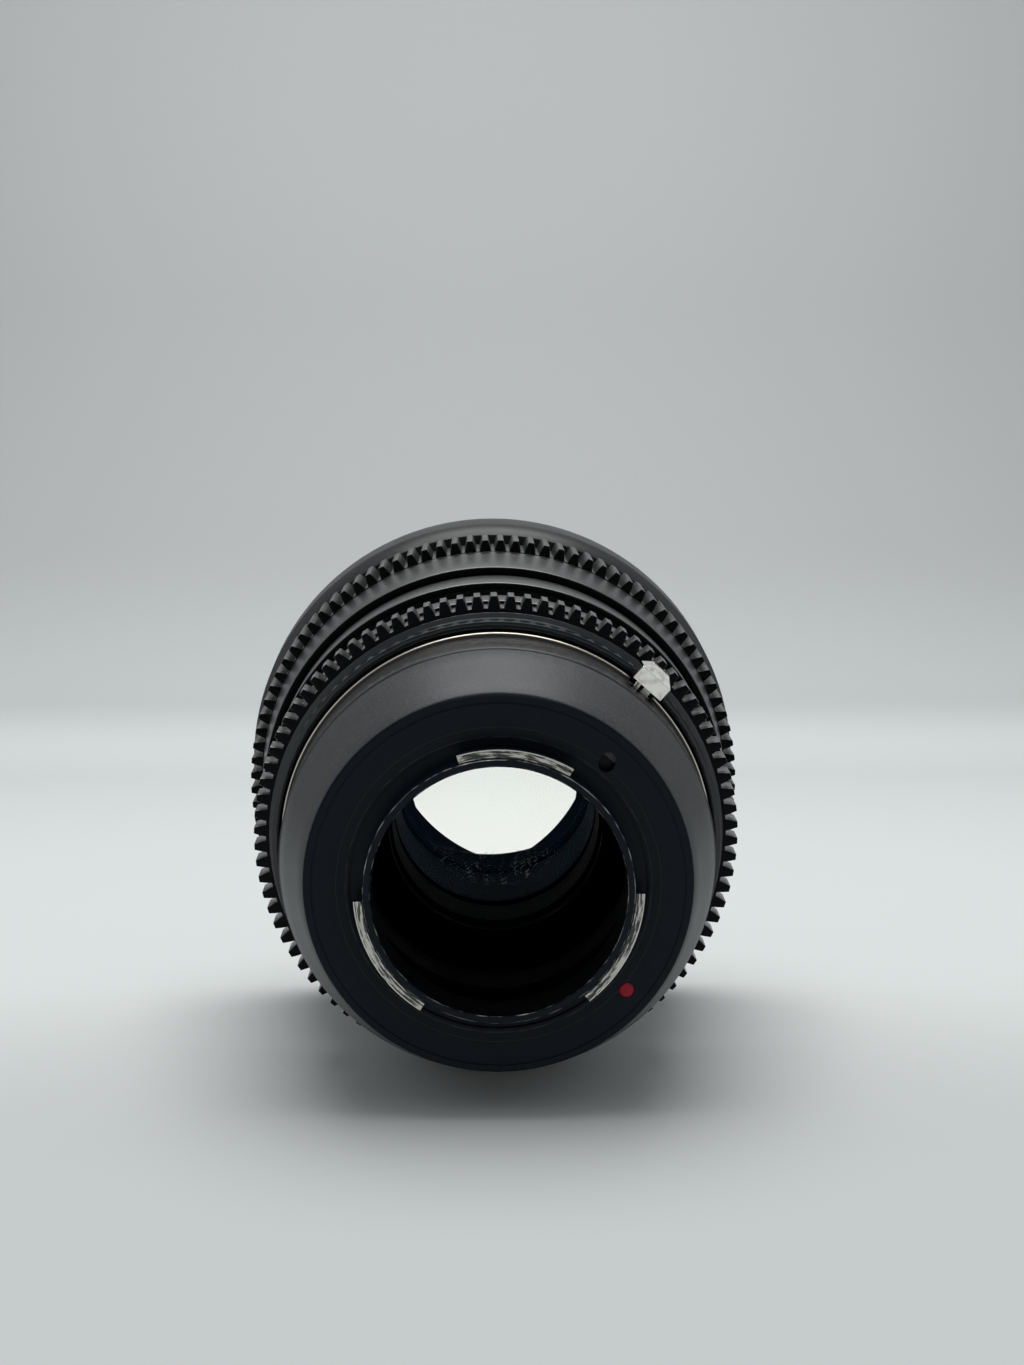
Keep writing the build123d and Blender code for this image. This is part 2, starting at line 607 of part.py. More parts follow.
# Bright ring that takes the lens, with its thin lip and three inward tabs
with BuildPart() as adapter_lens_ring:
    turned(
        (LENS_RING_BORE_RADIUS, lens_ring_rear + SEAT_CLEARANCE),
        (lens_ring_radius, lens_ring_rear + SEAT_CLEARANCE),
        (lens_ring_radius, adapter_barrel_front + SEAT_CLEARANCE),
        (LIP_RADIUS - LIP_EDGE, adapter_barrel_front + SEAT_CLEARANCE),
        (LIP_RADIUS, adapter_barrel_front + SEAT_CLEARANCE + LIP_EDGE),
        (LIP_RADIUS, lens_seat - LIP_EDGE),
        (LIP_RADIUS - LIP_EDGE, lens_seat),
        (LENS_RING_BORE_RADIUS, lens_seat),
    )
    tab_rear = lens_ring_rear + SEAT_CLEARANCE
    for turn in range(3):
        tab_middle = LENS_RING_TAB_ANGLE + turn * 120
        sector(
            tab_middle - LENS_RING_TAB_SPAN / 2, tab_middle + LENS_RING_TAB_SPAN / 2,
            LENS_RING_TAB_RADIUS, LENS_RING_BORE_RADIUS + OVERRUN,
            tab_rear, tab_rear + LENS_RING_TAB_THICKNESS,
        )
    block(
        RELEASE_POCKET_ANGLE, RELEASE_POCKET_WIDTH, RELEASE_POCKET_FLOOR, LIP_RADIUS + OVERRUN,
        lens_ring_rear - OVERRUN, lens_seat + OVERRUN, Mode.SUBTRACT,
    )
    head_rear = lens_seat - SEAT_CLEARANCE - SCREW_HEAD_HEIGHT
    bars(ring_screw_places, SCREW_SHANK_RADIUS + SEAT_CLEARANCE, lens_ring_rear - OVERRUN,
         lens_seat + OVERRUN, Mode.SUBTRACT)
    bars(ring_screw_places, SCREW_HEAD_RADIUS + SEAT_CLEARANCE, head_rear - SEAT_CLEARANCE,
         lens_seat + OVERRUN, Mode.SUBTRACT)
keep(adapter_lens_ring, "adapter_lens_ring")

# Four screws that hold the lens ring on the adapter barrel
with BuildPart() as adapter_ring_screws:
    screws(ring_screw_places, SCREW_SHANK_RADIUS, SCREW_HEAD_RADIUS, lens_ring_rear - RING_SCREW_BITE,
           head_rear, lens_seat - SEAT_CLEARANCE)
keep(adapter_ring_screws, "adapter_ring_screws")

# Release knob: a bright faceted block above the lip
with BuildPart() as release_knob:
    knob_rear = adapter_barrel_front - KNOB_SETBACK
    block(RELEASE_ANGLE, KNOB_LENGTH, KNOB_SEAT_RADIUS, KNOB_SEAT_RADIUS + KNOB_HEIGHT,
          knob_rear, knob_rear + KNOB_WIDTH)
    knob_plane = outward(RELEASE_ANGLE, knob_rear, KNOB_SEAT_RADIUS)
    knob_top = release_knob.faces().sort_by(Axis(knob_plane.origin, knob_plane.z_dir))[-1]
    knob_ends = knob_top.edges().filter_by(Axis.Y)
    chamfer(knob_ends, KNOB_END_CHAMFER)
    knob_top = release_knob.faces().sort_by(Axis(knob_plane.origin, knob_plane.z_dir))[-1]
    chamfer(knob_top.edges().filter_by(Axis.Y, reverse=True), KNOB_TOP_CHAMFER)
keep(release_knob, "release_knob")

# Release slider under the knob: block, arm, stem and the pin that locks the lens
slider_front = adapter_barrel_front + SLIDER_SETBACK
slider_rear = slider_front - SLIDER_THICKNESS
arm_middle = slider_front - ARM_THICKNESS / 2
pin_front = lens_seat + LOCK_PIN_REACH
with BuildPart() as release_slider:
    block(RELEASE_POCKET_ANGLE, SLIDER_WIDTH, RELEASE_POCKET_FLOOR + FREE_CLEARANCE, SLIDER_TOP_RADIUS,
          slider_rear, slider_front)
    block(ARM_ANGLE, ARM_WIDTH, SLIDER_TOP_RADIUS - OVERRUN, KNOB_SEAT_RADIUS,
          slider_front - ARM_THICKNESS, slider_front)
    stud(STEM_ANGLE, arm_middle, STEM_RADIUS, SLIDER_TOP_RADIUS - OVERRUN, KNOB_SEAT_RADIUS)
    bars([(LOCK_PIN_PLACE_RADIUS, RELEASE_POCKET_ANGLE)], LOCK_PIN_RADIUS, slider_front - OVERRUN, pin_front)
keep(release_slider, "release_slider")

# Spring strip that bears on the slider's side in the pocket
with BuildPart() as release_spring:
    side = (SLIDER_WIDTH / 2 + FREE_CLEARANCE + SPRING_STRIP / 2) / LOCK_PIN_PLACE_RADIUS
    block(RELEASE_POCKET_ANGLE + degrees(side), SPRING_STRIP, RELEASE_POCKET_FLOOR + FREE_CLEARANCE,
          SLIDER_TOP_RADIUS - FREE_CLEARANCE, pocket_rear + SEAT_CLEARANCE,
          adapter_barrel_front - FREE_CLEARANCE)
keep(release_spring, "release_spring")

# Rear bayonet of the lens, locked behind the adapter's tabs
mount_screw_places = [(MOUNT_SCREW_PLACE_RADIUS, MOUNT_SCREW_ANGLE + turn * 90) for turn in range(4)]
mount_head_front = lens_seat + SEAT_CLEARANCE + SCREW_HEAD_HEIGHT
with BuildPart() as lens_bayonet:
    tube(LENS_FLANGE_RADIUS, LENS_TUBE_RADIUS - LENS_TUBE_WALL, lens_seat + SEAT_CLEARANCE, lens_flange_front)
    tube(LENS_TUBE_RADIUS, LENS_TUBE_RADIUS - LENS_TUBE_WALL, lens_seat - LENS_TUBE_LENGTH, lens_flange_front)
    lens_lug_front = lens_ring_rear + SEAT_CLEARANCE - FREE_CLEARANCE
    for turn in range(3):
        lug_middle = LENS_RING_TAB_ANGLE + turn * 120
        sector(
            lug_middle - LENS_RING_TAB_SPAN / 2, lug_middle + LENS_RING_TAB_SPAN / 2,
            LENS_TUBE_RADIUS - LENS_TUBE_WALL / 2, LENS_LUG_RADIUS,
            lens_lug_front - LENS_LUG_THICKNESS, lens_lug_front,
        )
    bars([(LOCK_PIN_PLACE_RADIUS, RELEASE_POCKET_ANGLE)], LOCK_PIN_RADIUS + FREE_CLEARANCE,
         lens_seat - OVERRUN, pin_front + FREE_CLEARANCE, Mode.SUBTRACT)
    bars(mount_screw_places, SCREW_SHANK_RADIUS + SEAT_CLEARANCE, lens_seat - OVERRUN,
         lens_flange_front + OVERRUN, Mode.SUBTRACT)
    bars(mount_screw_places, SCREW_HEAD_RADIUS + SEAT_CLEARANCE, lens_seat - OVERRUN,
         mount_head_front + SEAT_CLEARANCE, Mode.SUBTRACT)
keep(lens_bayonet, "lens_bayonet")

# Four screws that hold the bayonet on the barrel
with BuildPart() as lens_bayonet_screws:
    screws(mount_screw_places, SCREW_SHANK_RADIUS, SCREW_HEAD_RADIUS, lens_seat + SEAT_CLEARANCE,
           mount_head_front, barrel_rear + MOUNT_SCREW_BITE, head_first=True)
keep(lens_bayonet_screws, "lens_bayonet_screws")

# Glossy rear ring of the lens, with a bead along its front edge
with BuildPart() as rear_barrel_ring:
    bead_rear = rear_ring_front - REAR_RING_BEAD_WIDTH
    turned(
        (SLEEVE_RADIUS + SEAT_CLEARANCE, rear_ring_rear),
        (REAR_RING_RADIUS, rear_ring_rear),
        (REAR_RING_RADIUS, bead_rear - REAR_RING_BEAD_WIDTH),
        (REAR_RING_BEAD_RADIUS, bead_rear),
        (REAR_RING_BEAD_RADIUS, rear_ring_front),
        (SLEEVE_RADIUS + SEAT_CLEARANCE, rear_ring_front),
    )
keep(rear_barrel_ring, "rear_barrel_ring")

# Fixed barrel: rear web, sleeve with the aperture slot, step and front sleeve
slot_foot = degrees((LINK_FOOT_WIDTH / 2 + FREE_CLEARANCE) / sleeve_bore_radius)
slot_start = LINK_ANGLE - APERTURE_OPEN_TURN - slot_foot
slot_end = LINK_ANGLE + APERTURE_CLOSED_TURN + slot_foot
foot_front = aperture_front - FOOT_END_GAP
foot_rear = foot_front - LINK_FOOT_LENGTH
key_rear = index_rear - KEY_FOOT_LENGTH - SEAT_CLEARANCE
key_screw_station = key_rear + KEY_FOOT_LENGTH / 2
with BuildPart() as main_barrel:
    turned(
        (LENS_TUBE_RADIUS, barrel_rear),
        (SLEEVE_RADIUS, barrel_rear),
        (SLEEVE_RADIUS, index_rear),
        (FRONT_SLEEVE_RADIUS, index_rear),
        (FRONT_SLEEVE_RADIUS, front_sleeve_end),
        (FRONT_SLEEVE_BORE_RADIUS, front_sleeve_end),
        (FRONT_SLEEVE_BORE_RADIUS, index_rear + STEP_WEB_THICKNESS),
        (sleeve_bore_radius, index_rear + STEP_WEB_THICKNESS),
        (sleeve_bore_radius, barrel_web_front),
        (LENS_TUBE_RADIUS, barrel_web_front),
    )
    sector(slot_start, slot_end, sleeve_bore_radius - OVERRUN, SLEEVE_RADIUS + OVERRUN,
           foot_rear - FREE_CLEARANCE, foot_front + FREE_CLEARANCE, Mode.SUBTRACT)
    bars(mount_screw_places, SCREW_SHANK_RADIUS + SEAT_CLEARANCE, barrel_rear - OVERRUN,
         barrel_rear + MOUNT_SCREW_BITE + SEAT_CLEARANCE, Mode.SUBTRACT)
    for key_angle in KEY_ANGLES:
        stud(key_angle, key_screw_station, KEY_SCREW_RADIUS + SEAT_CLEARANCE, sleeve_bore_radius - OVERRUN,
             SLEEVE_RADIUS + OVERRUN, Mode.SUBTRACT)
        stud(key_angle, key_screw_station, KEY_SCREW_HEAD_RADIUS + SEAT_CLEARANCE,
             SLEEVE_RADIUS - KEY_SCREW_HEAD_HEIGHT - SEAT_CLEARANCE, SLEEVE_RADIUS + OVERRUN, Mode.SUBTRACT)
keep(main_barrel, "main_barrel")

# Two keys that keep the optical unit from turning as it slides
with BuildPart() as guide_keys:
    for key_angle in KEY_ANGLES:
        block(key_angle, KEY_WIDTH, KEY_INNER_RADIUS, KEY_FOOT_RADIUS, key_rear, key_rear + KEY_FOOT_LENGTH)
        block(key_angle, KEY_WIDTH, KEY_INNER_RADIUS, KEY_OUTER_RADIUS, key_rear,
              key_rear + KEY_FOOT_LENGTH + KEY_REACH)
        stud(key_angle, key_screw_station, KEY_SCREW_RADIUS + SEAT_CLEARANCE, KEY_INNER_RADIUS - OVERRUN,
             KEY_FOOT_RADIUS + OVERRUN, Mode.SUBTRACT)
keep(guide_keys, "guide_keys")

# Screws of the two keys, their heads in the neck behind the index ring
with BuildPart() as guide_key_screws:
    for key_angle in KEY_ANGLES:
        stud(key_angle, key_screw_station, KEY_SCREW_RADIUS, KEY_INNER_RADIUS + SEAT_CLEARANCE,
             SLEEVE_RADIUS - SEAT_CLEARANCE)
        stud(key_angle, key_screw_station, KEY_SCREW_HEAD_RADIUS, SLEEVE_RADIUS - KEY_SCREW_HEAD_HEIGHT,
             SLEEVE_RADIUS - SEAT_CLEARANCE)
        block(key_angle, KEY_SCREW_HEAD_RADIUS * SCREW_SLOT_SHARE, SLEEVE_RADIUS - KEY_SCREW_HEAD_HEIGHT / 2,
              SLEEVE_RADIUS + OVERRUN, key_screw_station - KEY_SCREW_HEAD_RADIUS - OVERRUN,
              key_screw_station + KEY_SCREW_HEAD_RADIUS + OVERRUN, Mode.SUBTRACT)
keep(guide_key_screws, "guide_key_screws")

# Aperture ring: toothed band behind, groove, and the marked shoulder in front
with BuildPart() as aperture_ring:
    groove_radius = aperture_root_radius - APERTURE_GROOVE_DEPTH
    gear_band(APERTURE_TEETH, APERTURE_TOOTH_ANGLE, aperture_tip_radius, aperture_root_radius,
              aperture_bore_radius, aperture_rear, aperture_gear_front)
    turned(
        (aperture_bore_radius, aperture_rear),
        (groove_radius, aperture_rear),
        (groove_radius, aperture_shoulder_rear),
        (APERTURE_SHOULDER_RADIUS - SKIRT_EDGE, aperture_shoulder_rear),
        (APERTURE_SHOULDER_RADIUS, aperture_shoulder_rear + SKIRT_EDGE),
        (APERTURE_SHOULDER_RADIUS, aperture_front - SKIRT_EDGE),
        (APERTURE_SHOULDER_RADIUS - SKIRT_EDGE, aperture_front),
        (aperture_bore_radius, aperture_front),
    )
    link_screw_station = (foot_rear + foot_front) / 2
    link_head_floor = APERTURE_SHOULDER_RADIUS - LINK_SCREW_SINK - SCREW_HEAD_HEIGHT
    stud(LINK_ANGLE, link_screw_station, LINK_SCREW_RADIUS + SEAT_CLEARANCE, aperture_bore_radius - OVERRUN,
         APERTURE_SHOULDER_RADIUS + OVERRUN, Mode.SUBTRACT)
    stud(LINK_ANGLE, link_screw_station, LINK_SCREW_HEAD_RADIUS + SEAT_CLEARANCE,
         link_head_floor - SEAT_CLEARANCE, APERTURE_SHOULDER_RADIUS + OVERRUN, Mode.SUBTRACT)
keep(aperture_ring, "aperture_ring")

# Link bar of the aperture ring, its foot reaching through the slot in the barrel
with BuildPart() as aperture_link:
    foot_top = SLEEVE_RADIUS - SEAT_CLEARANCE
    block(LINK_ANGLE, LINK_FOOT_WIDTH, LINK_INNER_RADIUS, foot_top, foot_rear, foot_front)
    block(LINK_ANGLE, LINK_WIDTH, LINK_INNER_RADIUS, link_outer_radius, foot_rear, foot_rear + LINK_LENGTH)
    stud(LINK_ANGLE, link_screw_station, LINK_SCREW_RADIUS + SEAT_CLEARANCE, foot_top - LINK_SCREW_BITE,
         foot_top + OVERRUN, Mode.SUBTRACT)
keep(aperture_link, "aperture_link")

# Screw that joins the link to the aperture ring
with BuildPart() as aperture_link_screw:
    stud(LINK_ANGLE, link_screw_station, LINK_SCREW_RADIUS, foot_top - LINK_SCREW_BITE + SEAT_CLEARANCE,
         link_head_floor + SCREW_HEAD_HEIGHT)
    stud(LINK_ANGLE, link_screw_station, LINK_SCREW_HEAD_RADIUS, link_head_floor,
         link_head_floor + SCREW_HEAD_HEIGHT)
    block(LINK_ANGLE, LINK_SCREW_HEAD_RADIUS * SCREW_SLOT_SHARE, link_head_floor + SCREW_HEAD_HEIGHT / 2,
          APERTURE_SHOULDER_RADIUS + OVERRUN, link_screw_station - LINK_SCREW_HEAD_RADIUS - OVERRUN,
          link_screw_station + LINK_SCREW_HEAD_RADIUS + OVERRUN, Mode.SUBTRACT)
keep(aperture_link_screw, "aperture_link_screw")

# Collar in the neck that keeps the aperture ring in place
with BuildPart() as aperture_retainer:
    tube(APERTURE_RETAINER_RADIUS, SLEEVE_RADIUS + SEAT_CLEARANCE, aperture_front + FREE_CLEARANCE,
         aperture_front + FREE_CLEARANCE + APERTURE_RETAINER_WIDTH)
keep(aperture_retainer, "aperture_retainer")

# Index ring on the fixed barrel, running under the focus ring's skirt
with BuildPart() as index_ring:
    turned(
        (FRONT_SLEEVE_RADIUS + SEAT_CLEARANCE, index_rear),
        (INDEX_RING_RADIUS - SKIRT_EDGE, index_rear),
        (INDEX_RING_RADIUS, index_rear + SKIRT_EDGE),
        (INDEX_RING_RADIUS, index_front),
        (FRONT_SLEEVE_RADIUS + SEAT_CLEARANCE, index_front),
    )
keep(index_ring, "index_ring")

# Focus ring: tapered skirt and toothed band, with the web that carries the helicoid
focus_screw_places = [
    (FOCUS_SCREW_PLACE_RADIUS, 90 + turn * 360 / FOCUS_SCREW_COUNT) for turn in range(FOCUS_SCREW_COUNT)
]
flange_pocket_rear = focus_web_rear - HELICOID_FLANGE_THICKNESS
focus_head_rear = focus_front - FREE_CLEARANCE - SCREW_HEAD_HEIGHT
with BuildPart() as focus_ring:
    gear_band(FOCUS_TEETH, FOCUS_TOOTH_ANGLE, focus_tip_radius, focus_root_radius,
              focus_bore_radius + OVERRUN, focus_gear_rear, focus_front)
    turned(
        (skirt_bore_radius, focus_rear),
        (SKIRT_REAR_RADIUS - SKIRT_EDGE, focus_rear),
        (SKIRT_REAR_RADIUS, focus_rear + SKIRT_EDGE),
        (focus_root_radius - SKIRT_EDGE, focus_gear_rear),
        (focus_root_radius - SKIRT_EDGE, focus_front),
        (helicoid_thread_radius + SEAT_CLEARANCE, focus_front),
        (helicoid_thread_radius + SEAT_CLEARANCE, focus_web_rear),
        (HELICOID_FLANGE_RADIUS + SEAT_CLEARANCE, focus_web_rear),
        (HELICOID_FLANGE_RADIUS + SEAT_CLEARANCE, flange_pocket_rear),
        (focus_bore_radius, flange_pocket_rear),
        (focus_bore_radius, index_front + FREE_CLEARANCE),
        (skirt_bore_radius, index_front + FREE_CLEARANCE),
    )
    bars(focus_screw_places, SCREW_SHANK_RADIUS + SEAT_CLEARANCE, flange_pocket_rear - OVERRUN,
         focus_front + OVERRUN, Mode.SUBTRACT)
    bars(focus_screw_places, SCREW_HEAD_RADIUS + SEAT_CLEARANCE, focus_head_rear - SEAT_CLEARANCE,
         focus_front + OVERRUN, Mode.SUBTRACT)
keep(focus_ring, "focus_ring")

# Outer half of the focus helicoid, turning with the focus ring inside the fixed barrel
with BuildPart() as outer_helicoid:
    flange_front = focus_web_rear - SEAT_CLEARANCE
    turned(
        (helicoid_thread_radius, flange_front - HELICOID_OUTER_LENGTH),
        (helicoid_outer_radius, flange_front - HELICOID_OUTER_LENGTH),
        (helicoid_outer_radius, flange_pocket_rear + SEAT_CLEARANCE),
        (HELICOID_FLANGE_RADIUS, flange_pocket_rear + SEAT_CLEARANCE),
        (HELICOID_FLANGE_RADIUS, flange_front),
        (helicoid_thread_radius, flange_front),
    )
    bars(focus_screw_places, SCREW_SHANK_RADIUS + SEAT_CLEARANCE, flange_pocket_rear - OVERRUN,
         flange_front + OVERRUN, Mode.SUBTRACT)
keep(outer_helicoid, "outer_helicoid")

# Screws that join the helicoid to the focus ring
with BuildPart() as focus_ring_screws:
    screws(focus_screw_places, SCREW_SHANK_RADIUS, SCREW_HEAD_RADIUS, flange_pocket_rear + SEAT_CLEARANCE,
           focus_head_rear, focus_front - FREE_CLEARANCE)
keep(focus_ring_screws, "focus_ring_screws")

# Inner half of the helicoid, slotted for the keys; it carries the optics
front_screw_places = [(FRONT_SCREW_PLACE_RADIUS, FRONT_SCREW_ANGLE + turn * 90) for turn in range(4)]
with BuildPart() as inner_helicoid:
    tube(helicoid_inner_radius, carrier_bore_radius, front_ring_rear - HELICOID_INNER_LENGTH, front_ring_rear)
    for key_angle in KEY_ANGLES:
        block(key_angle, KEY_WIDTH + 2 * FREE_CLEARANCE, carrier_bore_radius - OVERRUN,
              helicoid_inner_radius + OVERRUN, front_ring_rear - HELICOID_INNER_LENGTH - OVERRUN,
              front_ring_rear - KEYWAY_END, Mode.SUBTRACT)
    bars(front_screw_places, FRONT_SCREW_RADIUS + SEAT_CLEARANCE,
         front_ring_rear - FRONT_SCREW_BITE - SEAT_CLEARANCE, front_ring_rear + OVERRUN, Mode.SUBTRACT)
keep(inner_helicoid, "inner_helicoid")

# Front ring: flared shoulder, plain grip band, filter thread with a relief behind it, and the web
with BuildPart() as front_ring:
    thread_rear = front_ring_front - FILTER_THREAD_LENGTH
    relief_rear = thread_rear - THREAD_RELIEF_LENGTH
    turned(
        (carrier_bore_radius, front_ring_rear),
        (front_ring_radius - FRONT_RING_REAR_DROP, front_ring_rear),
        (front_ring_radius - FRONT_RING_SHOULDER_DROP, front_ring_rear + FRONT_RING_SHOULDER_LENGTH),
        (front_ring_radius, front_ring_front - FRONT_RING_EDGE),
        (front_ring_radius - FRONT_RING_EDGE, front_ring_front),
        (FILTER_THREAD_RADIUS, front_ring_front),
        (FILTER_THREAD_RADIUS, thread_rear),
        (FILTER_THREAD_RADIUS + THREAD_RELIEF_DEPTH, thread_rear),
        (FILTER_THREAD_RADIUS + THREAD_RELIEF_DEPTH, relief_rear),
        (front_cavity_radius, relief_rear),
        (front_cavity_radius, front_web_front),
        (carrier_bore_radius, front_web_front),
    )
    front_head_rear = front_web_front - FRONT_SCREW_HEAD_HEIGHT
    bars(front_screw_places, FRONT_SCREW_RADIUS + SEAT_CLEARANCE, front_ring_rear - OVERRUN,
         front_web_front + OVERRUN, Mode.SUBTRACT)
    bars(front_screw_places, FRONT_SCREW_HEAD_RADIUS + SEAT_CLEARANCE, front_head_rear - SEAT_CLEARANCE,
         front_web_front + OVERRUN, Mode.SUBTRACT)
keep(front_ring, "front_ring")

# Four screws that hold the front ring on the helicoid
with BuildPart() as front_ring_screws:
    screws(front_screw_places, FRONT_SCREW_RADIUS, FRONT_SCREW_HEAD_RADIUS,
           front_ring_rear - FRONT_SCREW_BITE, front_head_rear, front_web_front)
keep(front_ring_screws, "front_ring_screws")

# Front bezel: a ridged cone from the filter thread down to the front glass
cell_front = iris_housing_front + FRONT_CELL_LENGTH
with BuildPart() as front_bezel:
    rim_rear = relief_rear - BEZEL_THICKNESS
    bezel_outer = front_cavity_radius - SEAT_CLEARANCE
    bezel_inner = housing_radius + FREE_CLEARANCE
    ridge_pitch = (bezel_outer - bezel_inner) / BEZEL_RIDGES
    ridge_drop = BEZEL_DROP / BEZEL_RIDGES
    stairs = []
    for ridge in range(BEZEL_RIDGES):
        ridge_radius = bezel_outer - (ridge + 1) * ridge_pitch
        stairs.append((ridge_radius, relief_rear - ridge * ridge_drop))
        stairs.append((ridge_radius, relief_rear - (ridge + 1) * ridge_drop))
    turned(
        (bezel_outer, rim_rear),
        (bezel_outer, relief_rear),
        *stairs,
        (bezel_inner, rim_rear - BEZEL_DROP),
    )
keep(front_bezel, "front_bezel")

# Iris housing: a cup with a ring slot for the drive fork, closed in front by a plate
plate_in = iris_rear + IRIS_PLATE_THICKNESS
drive_rear = plate_in + FREE_CLEARANCE
drive_front = drive_rear + IRIS_DRIVE_THICKNESS
first_blade_rear = drive_front + BLADE_PITCH
blades_front = first_blade_rear + (BLADE_COUNT - 1) * BLADE_PITCH + BLADE_THICKNESS
front_plate_rear = blades_front + FREE_CLEARANCE
front_plate_front = front_plate_rear + IRIS_PLATE_THICKNESS
fork_reach = degrees((LINK_WIDTH / 2 + FREE_CLEARANCE + FORK_WIDTH) / LINK_INNER_RADIUS)
fork_room = degrees(2 * FREE_CLEARANCE / LINK_INNER_RADIUS)
with BuildPart() as iris_housing:
    tube(housing_radius, IRIS_OPENING_RADIUS, iris_rear, plate_in)
    tube(housing_radius, chamber_radius, iris_rear, iris_housing_front)
    sector(
        LINK_ANGLE - APERTURE_OPEN_TURN - fork_reach - fork_room,
        LINK_ANGLE + APERTURE_CLOSED_TURN + fork_reach + fork_room,
        LINK_INNER_RADIUS - FREE_CLEARANCE, link_outer_radius + FREE_CLEARANCE,
        iris_rear - OVERRUN, plate_in + OVERRUN, Mode.SUBTRACT,
    )
    cell_screw_places = [(CELL_SCREW_PLACE_RADIUS, CELL_SCREW_ANGLE + turn * 120) for turn in range(3)]
    bars(cell_screw_places, CELL_SCREW_RADIUS + SEAT_CLEARANCE, iris_rear - OVERRUN,
         plate_in + OVERRUN, Mode.SUBTRACT)
keep(iris_housing, "iris_housing")

# Front plate over the blades
with BuildPart() as iris_front_plate:
    tube(chamber_radius - SEAT_CLEARANCE, IRIS_OPENING_RADIUS, front_plate_rear, front_plate_front)
keep(iris_front_plate, "iris_front_plate")

# Drive ring of the iris: cam slots, and a fork that the link bar stands in
pivot_angle = FIRST_BLADE_ANGLE - BLADE_PIVOT_ANGLE


def cam_point(turn):
    """Where the first blade's drive point crosses the drive ring after the ring has turned."""
    pivot_x, pivot_z = polar(BLADE_PIVOT_RADIUS, pivot_angle)
    swing = FIRST_BLADE_ANGLE + CAM_ARM_ANGLE + BLADE_TURN_SHARE * turn
    arm_x, arm_z = polar(CAM_ARM, swing)
    point_x, point_z = pivot_x + arm_x, pivot_z + arm_z
    reach = sqrt(point_x ** 2 + point_z ** 2)
    return polar(reach, degrees(atan2(point_z, point_x)) - turn)


with BuildPart() as iris_drive_ring:
    drive_radius = chamber_radius - FREE_CLEARANCE
    tube(drive_radius, IRIS_OPENING_RADIUS + OVERRUN, drive_rear, drive_front)
    cam_middle = (APERTURE_CLOSED_TURN - APERTURE_OPEN_TURN) / 2
    with BuildLine(Plane.XY) as cam_path:
        ThreePointArc(cam_point(-APERTURE_OPEN_TURN), cam_point(cam_middle), cam_point(APERTURE_CLOSED_TURN))
    with BuildSketch(across(drive_rear - OVERRUN)):
        with PolarLocations(0, BLADE_COUNT):
            SlotArc(cam_path.edges()[0], CAM_SLOT_WIDTH)
    extrude(amount=-(IRIS_DRIVE_THICKNESS + 2 * OVERRUN), mode=Mode.SUBTRACT)
    for side in (-1, 1):
        finger_offset = degrees((LINK_WIDTH / 2 + FREE_CLEARANCE + FORK_WIDTH / 2) / LINK_INNER_RADIUS)
        block(LINK_ANGLE + side * finger_offset, FORK_WIDTH, LINK_INNER_RADIUS, link_outer_radius,
              drive_rear - FORK_LENGTH, drive_front)
keep(iris_drive_ring, "iris_drive_ring")

# Iris blades: thin crescents, each in its own layer and turning about its own pivot hole
for blade in range(BLADE_COUNT):
    normal = FIRST_BLADE_ANGLE + blade * 360 / BLADE_COUNT
    blade_rear = first_blade_rear + blade * BLADE_PITCH
    pivot = polar(BLADE_PIVOT_RADIUS, normal - BLADE_PIVOT_ANGLE)
    edge_offset = BLADE_EDGE_RADIUS - BLADE_REST_RADIUS

    def inner_edge(angle):
        """A point of the blade's inner edge at an angle from its own normal."""
        lean = radians(angle)
        reach = -edge_offset * cos(lean) + sqrt(BLADE_EDGE_RADIUS ** 2 - (edge_offset * sin(lean)) ** 2)
        return polar(reach, normal + angle)

    def outer_edge(angle):
        """A point of the blade's outer edge at an angle from its own normal."""
        return polar(BLADE_OUTER_RADIUS, normal + angle)

    with BuildPart() as iris_blade:
        with BuildSketch(across(blade_rear)):
            with BuildLine():
                ThreePointArc(inner_edge(-BLADE_PIVOT_ANGLE), inner_edge(0), inner_edge(BLADE_TIP_ANGLE))
                Line(inner_edge(BLADE_TIP_ANGLE), outer_edge(BLADE_TIP_ANGLE))
                ThreePointArc(outer_edge(BLADE_TIP_ANGLE), outer_edge(0), outer_edge(-BLADE_PIVOT_ANGLE))
                Line(outer_edge(-BLADE_PIVOT_ANGLE), inner_edge(-BLADE_PIVOT_ANGLE))
            make_face()
            with Locations(pivot):
                Circle(BLADE_BOSS_RADIUS)
                Circle(BLADE_HOLE_RADIUS, mode=Mode.SUBTRACT)
        extrude(amount=-BLADE_THICKNESS)
    keep(iris_blade, f"iris_blade_{blade + 1}")

